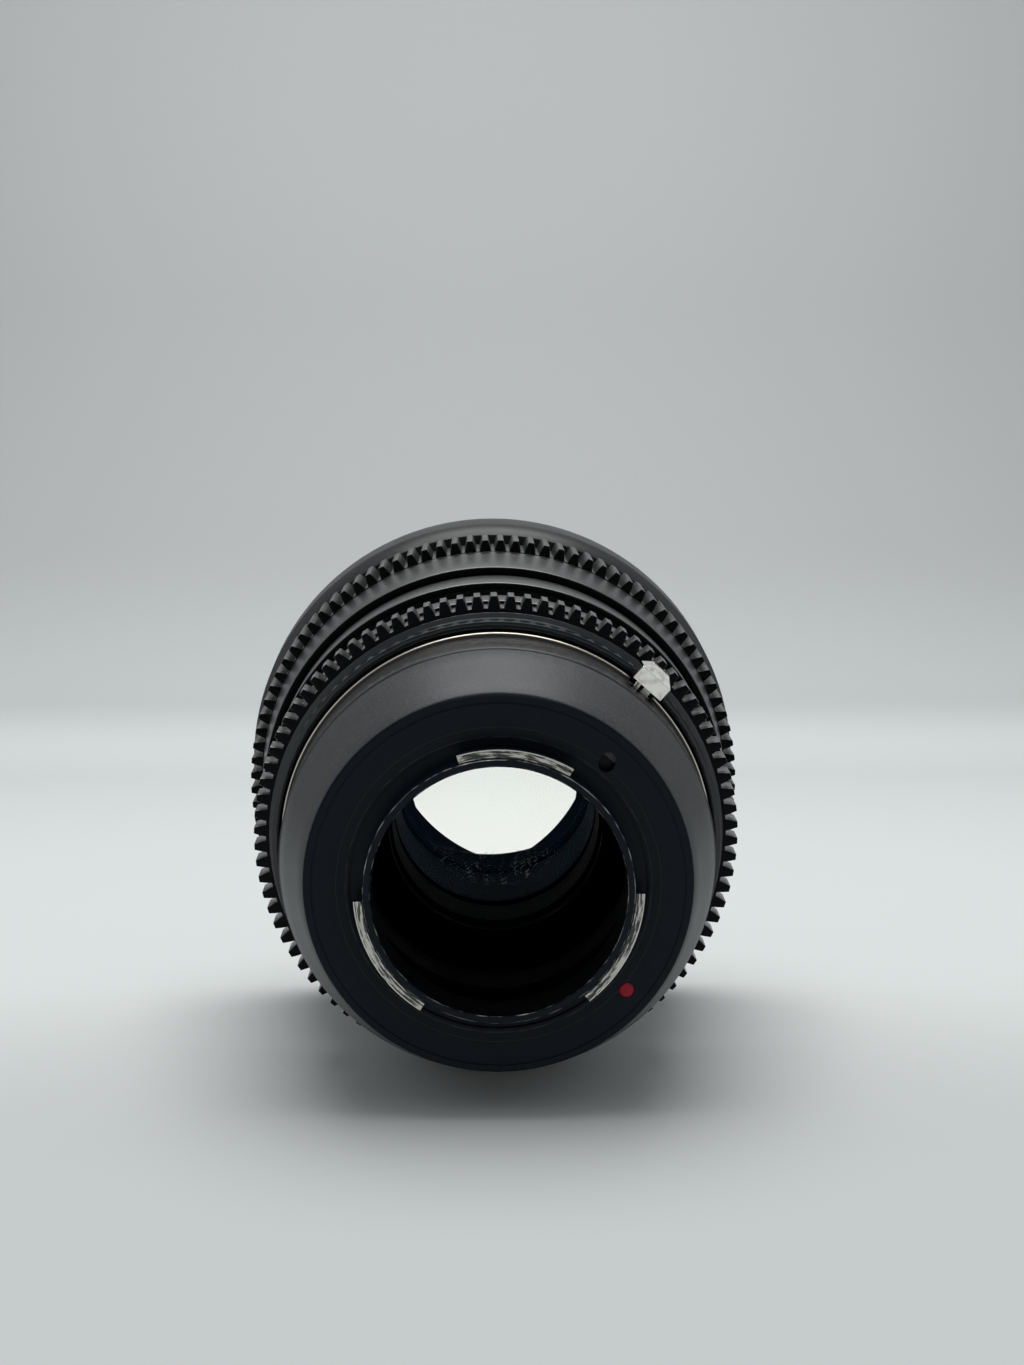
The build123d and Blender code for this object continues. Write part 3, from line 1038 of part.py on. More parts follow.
# Rear cell: the long tube behind the iris that holds the rear glass
cell_flange_front = iris_rear - SEAT_CLEARANCE
cell_rear = cell_flange_front - REAR_CELL_LENGTH
stack_front = cell_flange_front - REAR_CELL_LEDGE
retainer_front = cell_rear + REAR_RETAINER_DEPTH
with BuildPart() as rear_cell:
    turned(
        (REAR_RETAINER_RADIUS + SEAT_CLEARANCE, cell_rear),
        (REAR_CELL_RADIUS, cell_rear),
        (REAR_CELL_RADIUS, cell_flange_front - REAR_CELL_FLANGE),
        (REAR_CELL_FLANGE_RADIUS, cell_flange_front - REAR_CELL_FLANGE),
        (REAR_CELL_FLANGE_RADIUS, cell_flange_front),
        (REAR_CELL_LEDGE_RADIUS, cell_flange_front),
        (REAR_CELL_LEDGE_RADIUS, stack_front),
        (REAR_CELL_BORE_RADIUS, stack_front),
        (REAR_CELL_BORE_RADIUS, retainer_front + SEAT_CLEARANCE),
        (REAR_RETAINER_RADIUS + SEAT_CLEARANCE, retainer_front + SEAT_CLEARANCE),
    )
    bars(cell_screw_places, CELL_SCREW_RADIUS + SEAT_CLEARANCE,
         cell_flange_front - REAR_CELL_FLANGE - OVERRUN, cell_flange_front + OVERRUN, Mode.SUBTRACT)
keep(rear_cell, "rear_cell")

# Three screws that hold the rear cell on the iris housing
with BuildPart() as rear_cell_screws:
    cell_head_front = cell_flange_front - REAR_CELL_FLANGE - SEAT_CLEARANCE
    screws(cell_screw_places, CELL_SCREW_RADIUS, CELL_SCREW_HEAD_RADIUS,
           cell_head_front - CELL_SCREW_HEAD_HEIGHT, cell_head_front, plate_in - SEAT_CLEARANCE,
           head_first=True)
keep(rear_cell_screws, "rear_cell_screws")

# Rear retaining ring, with two spanner notches
with BuildPart() as rear_retainer:
    tube(REAR_RETAINER_RADIUS, REAR_RETAINER_BORE_RADIUS, cell_rear + SEAT_CLEARANCE, retainer_front)
    for notch_angle in (0, 180):
        block(notch_angle, RETAINER_NOTCH_WIDTH, REAR_RETAINER_BORE_RADIUS - OVERRUN,
              REAR_RETAINER_RADIUS + OVERRUN, cell_rear - OVERRUN,
              cell_rear + SEAT_CLEARANCE + RETAINER_NOTCH_DEPTH, Mode.SUBTRACT)
keep(rear_retainer, "rear_retainer")

# The stack in the rear cell, front to rear: doublet, spacer, middle glass, spacer, rear glass
stack_radius = REAR_CELL_BORE_RADIUS - SEAT_CLEARANCE
clear_radius = stack_radius - SPACER_WALL
doublet_rear = stack_front - SEAT_CLEARANCE - DOUBLET_EDGE
rear_glass_rear = retainer_front + SEAT_CLEARANCE
rear_spacer_rear = rear_glass_rear + REAR_GLASS_EDGE + SEAT_CLEARANCE
middle_glass_rear = rear_spacer_rear + REAR_SPACER_LENGTH + SEAT_CLEARANCE
front_spacer_rear = middle_glass_rear + MIDDLE_GLASS_EDGE + SEAT_CLEARANCE
with BuildPart() as inner_doublet:
    glass(stack_radius, clear_radius, doublet_rear, DOUBLET_EDGE, DOUBLET_REAR_CURVE, -DOUBLET_FRONT_CURVE)
keep(inner_doublet, "inner_doublet")

with BuildPart() as front_spacer:
    tube(stack_radius, clear_radius, front_spacer_rear, doublet_rear - SEAT_CLEARANCE)
keep(front_spacer, "front_spacer")

with BuildPart() as middle_glass:
    glass(stack_radius, clear_radius, middle_glass_rear, MIDDLE_GLASS_EDGE, MIDDLE_GLASS_REAR_CURVE,
          MIDDLE_GLASS_FRONT_CURVE)
keep(middle_glass, "middle_glass")

with BuildPart() as rear_spacer:
    tube(stack_radius, clear_radius, rear_spacer_rear, middle_glass_rear - SEAT_CLEARANCE)
keep(rear_spacer, "rear_spacer")

with BuildPart() as rear_glass:
    glass(stack_radius, clear_radius, rear_glass_rear, REAR_GLASS_EDGE, REAR_GLASS_REAR_CURVE,
          -REAR_GLASS_FRONT_CURVE)
keep(rear_glass, "rear_glass")

# Front cell, in front of the iris, with the front glass and its retaining ring
front_glass_rear = iris_housing_front + FREE_CLEARANCE + SEAT_CLEARANCE
front_retainer_rear = front_glass_rear + FRONT_GLASS_EDGE + RETAINER_LIFT
front_seat_radius = FRONT_GLASS_RADIUS + 2 * SEAT_CLEARANCE
with BuildPart() as front_cell:
    turned(
        (FRONT_CELL_BORE_RADIUS, iris_housing_front - FRONT_CELL_SPIGOT),
        (chamber_radius - SEAT_CLEARANCE, iris_housing_front - FRONT_CELL_SPIGOT),
        (chamber_radius - SEAT_CLEARANCE, iris_housing_front + SEAT_CLEARANCE),
        (housing_radius, iris_housing_front + SEAT_CLEARANCE),
        (housing_radius, cell_front),
        (front_seat_radius, cell_front),
        (front_seat_radius, iris_housing_front + FREE_CLEARANCE),
        (FRONT_CELL_BORE_RADIUS, iris_housing_front + FREE_CLEARANCE),
    )
keep(front_cell, "front_cell")

with BuildPart() as front_glass:
    glass(FRONT_GLASS_RADIUS, FRONT_GLASS_RADIUS - FRONT_GLASS_SEAT, front_glass_rear, FRONT_GLASS_EDGE,
          -FRONT_GLASS_REAR_CURVE, FRONT_GLASS_FRONT_CURVE)
keep(front_glass, "front_glass")

with BuildPart() as front_retainer:
    tube(front_seat_radius - SEAT_CLEARANCE, FRONT_RETAINER_BORE_RADIUS, front_retainer_rear,
         front_retainer_rear + FRONT_RETAINER_WIDTH)
    for notch_angle in (0, 180):
        block(notch_angle, RETAINER_NOTCH_WIDTH, FRONT_RETAINER_BORE_RADIUS - OVERRUN,
              front_seat_radius + OVERRUN,
              front_retainer_rear + FRONT_RETAINER_WIDTH - RETAINER_NOTCH_DEPTH,
              front_retainer_rear + FRONT_RETAINER_WIDTH + OVERRUN, Mode.SUBTRACT)
keep(front_retainer, "front_retainer")
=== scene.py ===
import logging
import math
from dataclasses import dataclass
from enum import Enum

import bpy
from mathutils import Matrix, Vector

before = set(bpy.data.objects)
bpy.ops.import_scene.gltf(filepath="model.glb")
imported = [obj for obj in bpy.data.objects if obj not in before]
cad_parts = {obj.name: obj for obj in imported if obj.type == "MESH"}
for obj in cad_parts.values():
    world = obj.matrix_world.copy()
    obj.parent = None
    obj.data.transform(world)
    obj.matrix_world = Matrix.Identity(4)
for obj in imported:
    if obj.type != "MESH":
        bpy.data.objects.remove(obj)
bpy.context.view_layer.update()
LOG = logging.getLogger("lens")
Colour = tuple[float, float, float]

MM = 0.001
# The depth that a relief of 1 stands for.
RELIEF_MM = 0.01
NOISE_ROUGHNESS = 0.55
# Low enough that dark faces don't turn grey under the soft light.
FLAT_SPECULAR = 0.04
# The CAD meshes have points of their own on each face. Joined, they give the bevels edges to work on.
WELD_MM = 0.0002
EDGE_ANGLE_DEG = 28
STEEL: Colour = (0.58, 0.57, 0.55)
PLATING: Colour = (0.60, 0.58, 0.55)


def scaled(colour: Colour, factor: float, lift: float = 0.0) -> Colour:
    """The colour times a factor, with the same lift added to each channel."""
    return tuple(factor * channel + lift for channel in colour)


class Field:
    """A number that varies over a surface. Arithmetic on it adds Math nodes."""

    def __init__(self, board: "Board", socket: bpy.types.NodeSocket) -> None:
        """Wraps an output socket.

        Args:
            board: The board that the socket's node is on.
            socket: The output socket.
        """
        self.board = board
        self.socket = socket

    def _join(self, operation: str, *values: "Field | float") -> "Field":
        """One Math node on these values.

        Args:
            operation: The Math node's operation.
            values: Fields or plain numbers, in the node's own order.

        Returns:
            The node's result.
        """
        node = self.board.node("ShaderNodeMath", {"operation": operation}, dict(enumerate(values)))
        return Field(self.board, node.outputs[0])

    def __add__(self, other: "Field | float") -> "Field":
        """Sum."""
        return self._join("ADD", self, other)

    def __radd__(self, other: float) -> "Field":
        """Sum with a number on the left."""
        return self._join("ADD", other, self)

    def __sub__(self, other: "Field | float") -> "Field":
        """Difference."""
        return self._join("SUBTRACT", self, other)

    def __rsub__(self, other: float) -> "Field":
        """Difference with a number on the left."""
        return self._join("SUBTRACT", other, self)

    def __mul__(self, other: "Field | float") -> "Field":
        """Product."""
        return self._join("MULTIPLY", self, other)

    def __rmul__(self, other: float) -> "Field":
        """Product with a number on the left."""
        return self._join("MULTIPLY", other, self)

    def __pow__(self, other: "Field | float") -> "Field":
        """Power."""
        return self._join("POWER", self, other)

    def largest(self, other: "Field | float") -> "Field":
        """The larger of two values."""
        return self._join("MAXIMUM", self, other)

    def angle_to(self, other: "Field") -> "Field":
        """The angle whose tangent is this value over the other, in radians."""
        return self._join("ARCTAN2", self, other)

    def rise(self, low: float, high: float) -> "Field":
        """A smooth step.

        Args:
            low: Where the step starts, at 0.
            high: Where it ends, at 1. Below low, the step falls instead.

        Returns:
            0 before the step, 1 after it.
        """
        (start, first), (end, last) = sorted(((low, 0.0), (high, 1.0)))
        inputs = {"Value": self, "From Min": start, "From Max": end, "To Min": first, "To Max": last}
        node = self.board.node("ShaderNodeMapRange", {"interpolation_type": "SMOOTHSTEP"}, inputs)
        return Field(self.board, node.outputs["Result"])

    def band(self, middle: float, half: float, soft: float) -> "Field":
        """A soft-edged band.

        Args:
            middle: The band's middle.
            half: Half its width.
            soft: How wide each edge fades.

        Returns:
            1 in the band, 0 away from it.
        """
        above = self.rise(middle - half - soft, middle - half)
        below = self.rise(middle + half + soft, middle + half)
        return above * below


class Board:
    """A node tree, and the one way that nodes get into it."""

    def __init__(self, tree: bpy.types.NodeTree) -> None:
        """Empties the tree.

        Args:
            tree: The node tree.
        """
        self.tree = tree
        self.tree.nodes.clear()

    def node(self, kind: str, settings: dict | None = None, inputs: dict | None = None) -> bpy.types.Node:
        """Adds one node.

        Args:
            kind: The node's type.
            settings: Its properties, which are set first.
            inputs: Values, sockets or fields for its sockets, by name or place.

        Returns:
            The node.
        """
        made = self.tree.nodes.new(kind)
        for key, value in (settings or {}).items():
            setattr(made, key, value)
        for key, value in (inputs or {}).items():
            if isinstance(value, Field):
                value = value.socket
            if isinstance(value, bpy.types.NodeSocket):
                self.tree.links.new(value, made.inputs[key])
            else:
                made.inputs[key].default_value = value
        return made

    def apart(self, vector: bpy.types.NodeSocket) -> tuple[Field, ...]:
        """The three values of a vector."""
        split = self.node("ShaderNodeSeparateXYZ", inputs={"Vector": vector})
        return tuple(Field(self, out) for out in split.outputs)


class Painter(Board):
    """Builds one material's nodes on the lens's own cylinder coordinates, in millimetres."""

    def __init__(self, name: str) -> None:
        """Starts an empty material.

        Args:
            name: The material's name.
        """
        self.material = bpy.data.materials.new(name)
        self.material.use_nodes = True
        super().__init__(self.material.node_tree)
        place = self.node("ShaderNodeTexCoord").outputs
        self.x, self.station, self.z = (value * (1 / MM) for value in self.apart(place["Object"]))
        self.rearward = self.apart(place["Normal"])[1] * -1.0
        self.radius = (self.x * self.x + self.z * self.z) ** 0.5
        self.turn = self.z.angle_to(self.x)
        self.point = self.vector(self.x, self.station, self.z)

    def vector(self, x: Field | float, y: Field | float, z: Field | float) -> bpy.types.NodeSocket:
        """Three values joined as one vector."""
        return self.node("ShaderNodeCombineXYZ", inputs={0: x, 1: y, 2: z}).outputs[0]

    def noise(self, size: float, detail: float = 3.0, at: bpy.types.NodeSocket | None = None) -> Field:
        """Cloudy noise about 0.5.

        Args:
            size: The size of one cloud in millimetres.
            detail: How many finer layers it has.
            at: Where it is read; the surface point if left out.

        Returns:
            The noise.
        """
        scale = {"Scale": 1 / size, "Detail": detail, "Roughness": NOISE_ROUGHNESS}
        node = self.node("ShaderNodeTexNoise", inputs={"Vector": at or self.point, **scale})
        return Field(self, node.outputs["Fac"])

    def lathe_lines(self, pitch: float, wander: float = 0.6) -> Field:
        """Fine lines left by turning, round the axis.

        Args:
            pitch: Their mean distance in millimetres.
            wander: How much they change round the turn.

        Returns:
            The lines, about 0.5.
        """
        at = self.vector(self.radius * (1 / pitch), self.station * (1 / pitch), self.turn * wander)
        return self.noise(1.0, 2.0, at)

    def mix(self, share: Field, low: "Colour | bpy.types.NodeSocket", high: Colour) -> bpy.types.NodeSocket:
        """A colour between two.

        Args:
            share: 0 for the low colour, 1 for the high one.
            low: A colour or a colour socket.
            high: A colour.

        Returns:
            The mixed colour's socket.
        """
        start = low if isinstance(low, bpy.types.NodeSocket) else (*low, 1.0)
        made = self.node("ShaderNodeMix", {"data_type": "RGBA"}, {0: share, 6: start, 7: (*high, 1.0)})
        return made.outputs[2]

    def relief(self, height: Field, depth: float = RELIEF_MM) -> bpy.types.NodeSocket:
        """A bumped normal.

        Args:
            height: The relief, from 0 to 1.
            depth: Its depth in millimetres.

        Returns:
            The normal.
        """
        inputs = {"Height": height, "Distance": depth * MM, "Strength": 1.0}
        return self.node("ShaderNodeBump", inputs=inputs).outputs["Normal"]

    def surface(self, inputs: dict) -> bpy.types.NodeSocket:
        """One Principled shader.

        Args:
            inputs: Its sockets' values or links. A plain colour has three numbers.

        Returns:
            The shader's socket.
        """
        whole = {key: (*value, 1.0) if isinstance(value, tuple) else value for key, value in inputs.items()}
        return self.node("ShaderNodeBsdfPrincipled", inputs=whole).outputs[0]

    def close(self, shader: bpy.types.NodeSocket) -> bpy.types.Material:
        """Leads a shader to the material's output, and gives the material."""
        self.node("ShaderNodeOutputMaterial", inputs={"Surface": shader})
        return self.material


@dataclass(frozen=True)
class Valley:
    """The floor between a ring's teeth, where dirt lies in patches."""

    radius_mm: float
    start_mm: float
    end_mm: float
    colour: Colour = (0.050, 0.036, 0.034)
    half_height_mm: float = 0.35
    height_fade_mm: float = 0.3
    inset_mm: float = 0.3
    end_fade_mm: float = 0.2
    strength: float = 0.8

    def dirt(self, p: Painter, clouds: Field) -> Field:
        """How much dirt lies at a point.

        Args:
            p: The material's painter.
            clouds: The noise that the patches follow.

        Returns:
            0 where it is clean, and up to the strength elsewhere.
        """
        middle, half = (self.start_mm + self.end_mm) / 2, (self.end_mm - self.start_mm) / 2
        low = p.radius.band(self.radius_mm, self.half_height_mm, self.height_fade_mm)
        along = p.station.band(middle, half - self.inset_mm, self.end_fade_mm)
        return low * along * clouds.rise(0.3, 0.6) * self.strength


@dataclass(frozen=True)
class Anodised:
    """Anodised aluminium: a dark coat with fine grain, turning lines and worn places.

    The polish is a second, glossy coat that the faces turned to the rear don't have.
    """

    name: str
    colour: Colour
    roughness: float = 0.4
    grain_mm: float = 0.25
    grain_depth_mm: float = 0.004
    line_pitch_mm: float = 0.12
    line_depth_mm: float = 0.002
    cloud_mm: float = 7.0
    gloss: float = 0.4
    polish: float = 0.0
    polish_ior: float = 2.0
    fleck: float = 0.25
    dust: float = 0.15
    unevenness: float = 0.12
    valley: Valley | None = None

    def paint(self) -> bpy.types.Material:
        """Builds the material.

        Returns:
            The material.
        """
        p = Painter(self.name)
        grain = p.noise(self.grain_mm, 4.0)
        lines = p.lathe_lines(self.line_pitch_mm)
        clouds = p.noise(self.cloud_mm, 4.0)
        mottle = clouds.rise(0.45, 0.8) * self.dust + grain.rise(0.44, 0.64) * self.fleck
        colour = p.mix(mottle, self.colour, scaled(self.colour, 1.6, 0.003))
        if self.valley:
            colour = p.mix(self.valley.dirt(p, clouds), colour, self.valley.colour)
        facing_rear = p.rearward.rise(0.55, 0.85)
        rough = (grain - 0.5) * self.unevenness + (clouds - 0.5) * self.unevenness + self.roughness
        height = grain * (self.grain_depth_mm / RELIEF_MM) + lines * (self.line_depth_mm / RELIEF_MM)
        return p.close(p.surface({
            "Base Color": colour,
            "Roughness": rough,
            "Specular IOR Level": self.gloss,
            "Coat Weight": (1 - facing_rear) * self.polish,
            "Coat IOR": self.polish_ior,
            "Coat Roughness": self.roughness,
            "Normal": p.relief(height),
        }))


@dataclass(frozen=True)
class FlangeFace:
    """The camera flange: blue-black coat, turned ring lines, and bright wear on the tube and lugs, partly
    painted highlights along their edges.
    """

    name: str = "flange_coat"
    coat: Colour = (0.0036, 0.0070, 0.0122)
    worn: Colour = (0.045, 0.040, 0.034)
    # Bright metal of the wear, also used as painted highlight along the tube rim and lug edges.
    metal: Colour = (0.62, 0.60, 0.55)
    dark_metal: Colour = (0.06, 0.06, 0.059)
    inside: Colour = (0.0003, 0.0006, 0.0012)
    roughness: float = 0.38
    sheen: float = 0.20
    tube_mm: float = 18.77
    bore_mm: float = 17.65
    lug_mm: float = 20.04
    rim_station_mm: float = -3.41
    worn_line_mm: float = 21.2
    turned_line_mm: float = 22.55
    cloud_mm: float = 2.5
    line_pitch_mm: float = 0.1
    streak_mm: float = 0.25
    streaks_per_radian: float = 9.0

    def tube_rim_wear_and_highlight(self, p: Painter, streaks: Field) -> Field:
        """Bright wear along both edges of the tube's rim, partly a painted highlight on those edges.

        Args:
            p: The material's painter.
            streaks: The noise that the wear follows.

        Returns:
            The wear and painted highlight, from 0 to about 0.6.
        """
        near_rim = p.station.rise(self.rim_station_mm + 0.35, self.rim_station_mm + 0.1)
        rim = near_rim * p.rearward.rise(0.4, 0.7)
        # The bright lines along the rim's outer and inner edges are partly painted highlight, partly wear.
        outer_edge = p.radius.band(self.tube_mm - 0.10, 0.04, 0.06)
        inner_edge = p.radius.band(self.bore_mm + 0.10, 0.03, 0.05)
        outer_edge_wear_and_highlight = outer_edge * streaks.rise(0.35, 0.7) * 0.6
        inner_edge_wear_and_highlight = inner_edge * streaks.rise(0.38, 0.68) * 0.6
        return rim * (outer_edge_wear_and_highlight + inner_edge_wear_and_highlight)

    def lug(self, p: Painter) -> Field:
        """Where the rear faces of the lugs are.

        Args:
            p: The material's painter.

        Returns:
            1 on them, 0 elsewhere.
        """
        raised = p.station.rise(-0.2, -0.4) * p.rearward.rise(0.6, 0.85)
        return raised * p.radius.rise(self.tube_mm + 0.05, self.tube_mm + 0.2)

    def paint(self) -> bpy.types.Material:
        """Builds the material.

        Returns:
            The material.
        """
        p = Painter(self.name)
        clouds = p.noise(self.cloud_mm, 5.0)
        fine = 1 / self.streak_mm
        at = p.vector(p.radius * fine, p.station * fine, p.turn * self.streaks_per_radian)
        streaks = p.noise(1.0, 4.0, at)
        lines = p.lathe_lines(self.line_pitch_mm)
        tube_rim_wear_and_highlight = self.tube_rim_wear_and_highlight(p, streaks)
        lug = self.lug(p)
        # Bright streaks along the lugs' outer edges: painted highlight, partly wear.
        lug_edge_highlight_and_wear = p.radius.rise(self.lug_mm - 0.24, self.lug_mm - 0.10)
        lug_wear_and_edge_highlight = lug * (lug_edge_highlight_and_wear * streaks.rise(0.25, 0.45)).largest(streaks.rise(0.40, 0.58) * 0.75)
        bare = lug.largest(tube_rim_wear_and_highlight.rise(0.1, 0.9))
        # The bright metal on the rim and lug edges is partly painted highlight.
        wear = (tube_rim_wear_and_highlight + lug_wear_and_edge_highlight).rise(0.1, 0.9)
        bore = p.radius.rise(self.bore_mm + 0.05, self.bore_mm + 0.01)
        scuffs = p.radius.band(self.worn_line_mm, 0.05, 0.12) * streaks.rise(0.38, 0.62)
        ring_lines = p.radius.band(self.turned_line_mm, 0.03, 0.06)
        colour = p.mix(clouds.rise(0.5, 0.85) * 0.3, self.coat, scaled(self.coat, 1.7))
        layers = (
            (scuffs * 0.7 + ring_lines * 0.35, self.worn),
            (bare, self.dark_metal),
            (wear, self.metal),
            (bore, self.inside),
        )
        for share, layer in layers:
            colour = p.mix(share, colour, layer)
        return p.close(p.surface({
            "Base Color": colour,
            "Metallic": bare,
            "Roughness": (clouds - 0.5) * 0.1 + self.roughness - wear * 0.1 + bore * 0.5,
            "Specular IOR Level": FLAT_SPECULAR,
            "Coat Weight": p.rearward.rise(0.8, 0.95) * (1 - bore) * self.sheen,
            "Coat Roughness": self.roughness,
            "Normal": p.relief(lines * 0.25 - ring_lines * 1.5),
        }))


@dataclass(frozen=True)
class BareMetal:
    """Bare or plated metal with turning lines and handling marks, dull inside a radius if one is given."""

    name: str
    colour: Colour
    roughness: float = 0.25
    stain: Colour = (0.30, 0.27, 0.22)
    stain_share: float = 0.3
    cloud_mm: float = 1.4
    line_pitch_mm: float = 0.08
    line_depth_mm: float = 0.002
    dull_inside_mm: float = 0.0
    dull_colour: Colour = (0.0012, 0.0018, 0.0028)
    dull_fade_mm: float = 0.06
    dull_roughness: float = 0.5

    def paint(self) -> bpy.types.Material:
        """Builds the material.

        Returns:
            The material.
        """
        p = Painter(self.name)
        clouds = p.noise(self.cloud_mm, 5.0)
        lines = p.lathe_lines(self.line_pitch_mm)
        colour = p.mix(clouds.rise(0.45, 0.75) * self.stain_share, self.colour, self.stain)
        rough = (clouds - 0.5) * 0.2 + self.roughness
        inputs = {
            "Base Color": colour,
            "Metallic": 1.0,
            "Roughness": rough,
            "Specular IOR Level": FLAT_SPECULAR,
            "Normal": p.relief(lines * (self.line_depth_mm / RELIEF_MM)),
        }
        if self.dull_inside_mm:
            edge, fade = self.dull_inside_mm, self.dull_fade_mm
            dull = p.radius.rise(edge + fade, edge - fade)
            inputs["Base Color"] = p.mix(dull, colour, self.dull_colour)
            inputs["Metallic"] = 1 - dull
            inputs["Roughness"] = rough + dull * self.dull_roughness
        return p.close(p.surface(inputs))


@dataclass(frozen=True)
class GlossBlack:
    """Glossy black coat with smears and specks of dust."""

    name: str
    colour: Colour = (0.0045, 0.0047, 0.0055)
    roughness: float = 0.14
    smear_mm: float = 3.0
    smear_roughness: float = 0.16
    dust_mm: float = 0.3
    dust_share: float = 0.2
    dust_colour: Colour = (0.08, 0.076, 0.070)
    line_pitch_mm: float = 0.2
    line_depth_mm: float = 0.001

    def paint(self) -> bpy.types.Material:
        """Builds the material.

        Returns:
            The material.
        """
        p = Painter(self.name)
        smears = p.noise(self.smear_mm, 5.0, p.vector(p.radius, p.station * 2.0, p.turn * 12.0))
        dust = p.noise(self.dust_mm).rise(0.66, 0.8)
        return p.close(p.surface({
            "Base Color": p.mix(dust * self.dust_share, self.colour, self.dust_colour),
            "Roughness": smears.rise(0.4, 0.8) * self.smear_roughness + self.roughness,
            "Normal": p.relief(p.lathe_lines(self.line_pitch_mm), self.line_depth_mm),
        }))


@dataclass(frozen=True)
class MatteBlack:
    """Flat anti-glare black."""

    name: str
    colour: Colour = (0.0003, 0.0018, 0.0048)
    roughness: float = 0.9
    grain_mm: float = 0.3
    grain_depth_mm: float = 0.02

    def paint(self) -> bpy.types.Material:
        """Builds the material.

        Returns:
            The material.
        """
        p = Painter(self.name)
        grain = p.noise(self.grain_mm)
        return p.close(p.surface({
            "Base Color": p.mix(grain.rise(0.5, 0.9), self.colour, scaled(self.colour, 1.6)),
            "Roughness": self.roughness,
            "Specular IOR Level": FLAT_SPECULAR,
            "Normal": p.relief(grain, self.grain_depth_mm),
        }))


@dataclass(frozen=True)
class Enamel:
    """Red enamel of the index dot."""

    name: str = "red_enamel"
    colour: Colour = (0.38, 0.009, 0.026)
    roughness: float = 0.35
    gloss: float = 0.2
    cloud_mm: float = 0.7
    cloud_depth_mm: float = 0.02

    def paint(self) -> bpy.types.Material:
        """Builds the material.

        Returns:
            The material.
        """
        p = Painter(self.name)
        clouds = p.noise(self.cloud_mm)
        return p.close(p.surface({
            "Base Color": p.mix(clouds, self.colour, scaled(self.colour, 0.7)),
            "Roughness": self.roughness,
            "Specular IOR Level": self.gloss,
            "Normal": p.relief(clouds, self.cloud_depth_mm),
        }))


@dataclass(frozen=True)
class CoatedGlass:
    """Lens glass that light passes straight, with a coloured coating's reflection and some scratches."""

    name: str
    coating: Colour
    coating_roughness: float = 0.04
    facing_share: float = 0.007
    edge_share: float = 0.10
    scratch_share: float = 0.0
    powder: Colour = (0.85, 0.87, 0.80)
    speck_mm: float = 0.22

    def marks(self, p: Painter) -> Field:
        """Short scratches in two directions, and specks between them, below the middle.

        Args:
            p: The material's painter.

        Returns:
            1 on a mark, 0 elsewhere.
        """
        along, over = p.x * 0.8 + p.z * 0.6, p.z * 0.8 - p.x * 0.6
        first = p.noise(1.0, 1.0, p.vector(along * 0.55, 0.0, over * 5.0)).rise(0.66, 0.70)
        second = p.noise(1.0, 1.0, p.vector(over * 0.7, 3.0, along * 6.0)).rise(0.685, 0.72)
        specks = p.noise(self.speck_mm, 1.0).rise(0.71, 0.75)
        marked = first.largest(second).largest(specks)
        return marked * p.radius.rise(12.0, 8.0) * p.z.rise(-2.5, -4.5)

    def paint(self) -> bpy.types.Material:
        """Builds the material.

        Returns:
            The material.
        """
        p = Painter(self.name)
        clear = {"Base Color": (1.0, 1.0, 1.0), "Transmission Weight": 1.0, "IOR": 1.0, "Roughness": 0.0}
        mirror = {"Base Color": self.coating, "Metallic": 1.0, "Roughness": self.coating_roughness}
        through, gleam = p.surface(clear), p.surface(mirror)
        slant = Field(p, p.node("ShaderNodeLayerWeight", inputs={"Blend": 0.5}).outputs["Facing"])
        share = slant ** 4 * self.edge_share + self.facing_share
        joined = p.node("ShaderNodeMixShader", inputs={0: share, 1: through, 2: gleam}).outputs[0]
        if self.scratch_share:
            dull = p.surface({"Base Color": self.powder, "Roughness": 1.0, "Specular IOR Level": 0.0})
            place = {0: self.marks(p) * self.scratch_share, 1: joined, 2: dull}
            joined = p.node("ShaderNodeMixShader", inputs=place).outputs[0]
        return p.close(joined)


class Softness(Enum):
    """How widely an edge is rounded, in millimetres."""

    CRISP = 0.05
    PLAIN = 0.1
    SOFT = 0.2
    FACETED = 0.8


def dress(nodes: tuple[str, ...], material: bpy.types.Material, softness: Softness | None = None) -> None:
    """Gives CAD nodes a finish, their shading and rounded or plain edges.

    Args:
        nodes: The nodes' names.
        material: The finish.
        softness: How widely edges are rounded, or None for none. Faceted pieces are shaded flat.
    """
    faceted = softness is Softness.FACETED
    for name in nodes:
        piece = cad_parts[name]
        piece.data.materials.clear()
        piece.data.materials.append(material)
        if faceted:
            piece.data.shade_flat()
        else:
            piece.data.shade_smooth()
        weld = piece.modifiers.new("weld", "WELD")
        weld.merge_threshold = WELD_MM * MM
        if softness is None:
            split = piece.modifiers.new("crease", "EDGE_SPLIT")
            split.split_angle = math.radians(EDGE_ANGLE_DEG)
        else:
            edge = piece.modifiers.new("edge", "BEVEL")
            edge.width = softness.value * MM
            edge.segments = 1 if faceted else 2
            edge.limit_method = "ANGLE"
            edge.angle_limit = math.radians(EDGE_ANGLE_DEG)
            edge.harden_normals = not faceted
        LOG.info("dressed %s with %s", name, material.name)


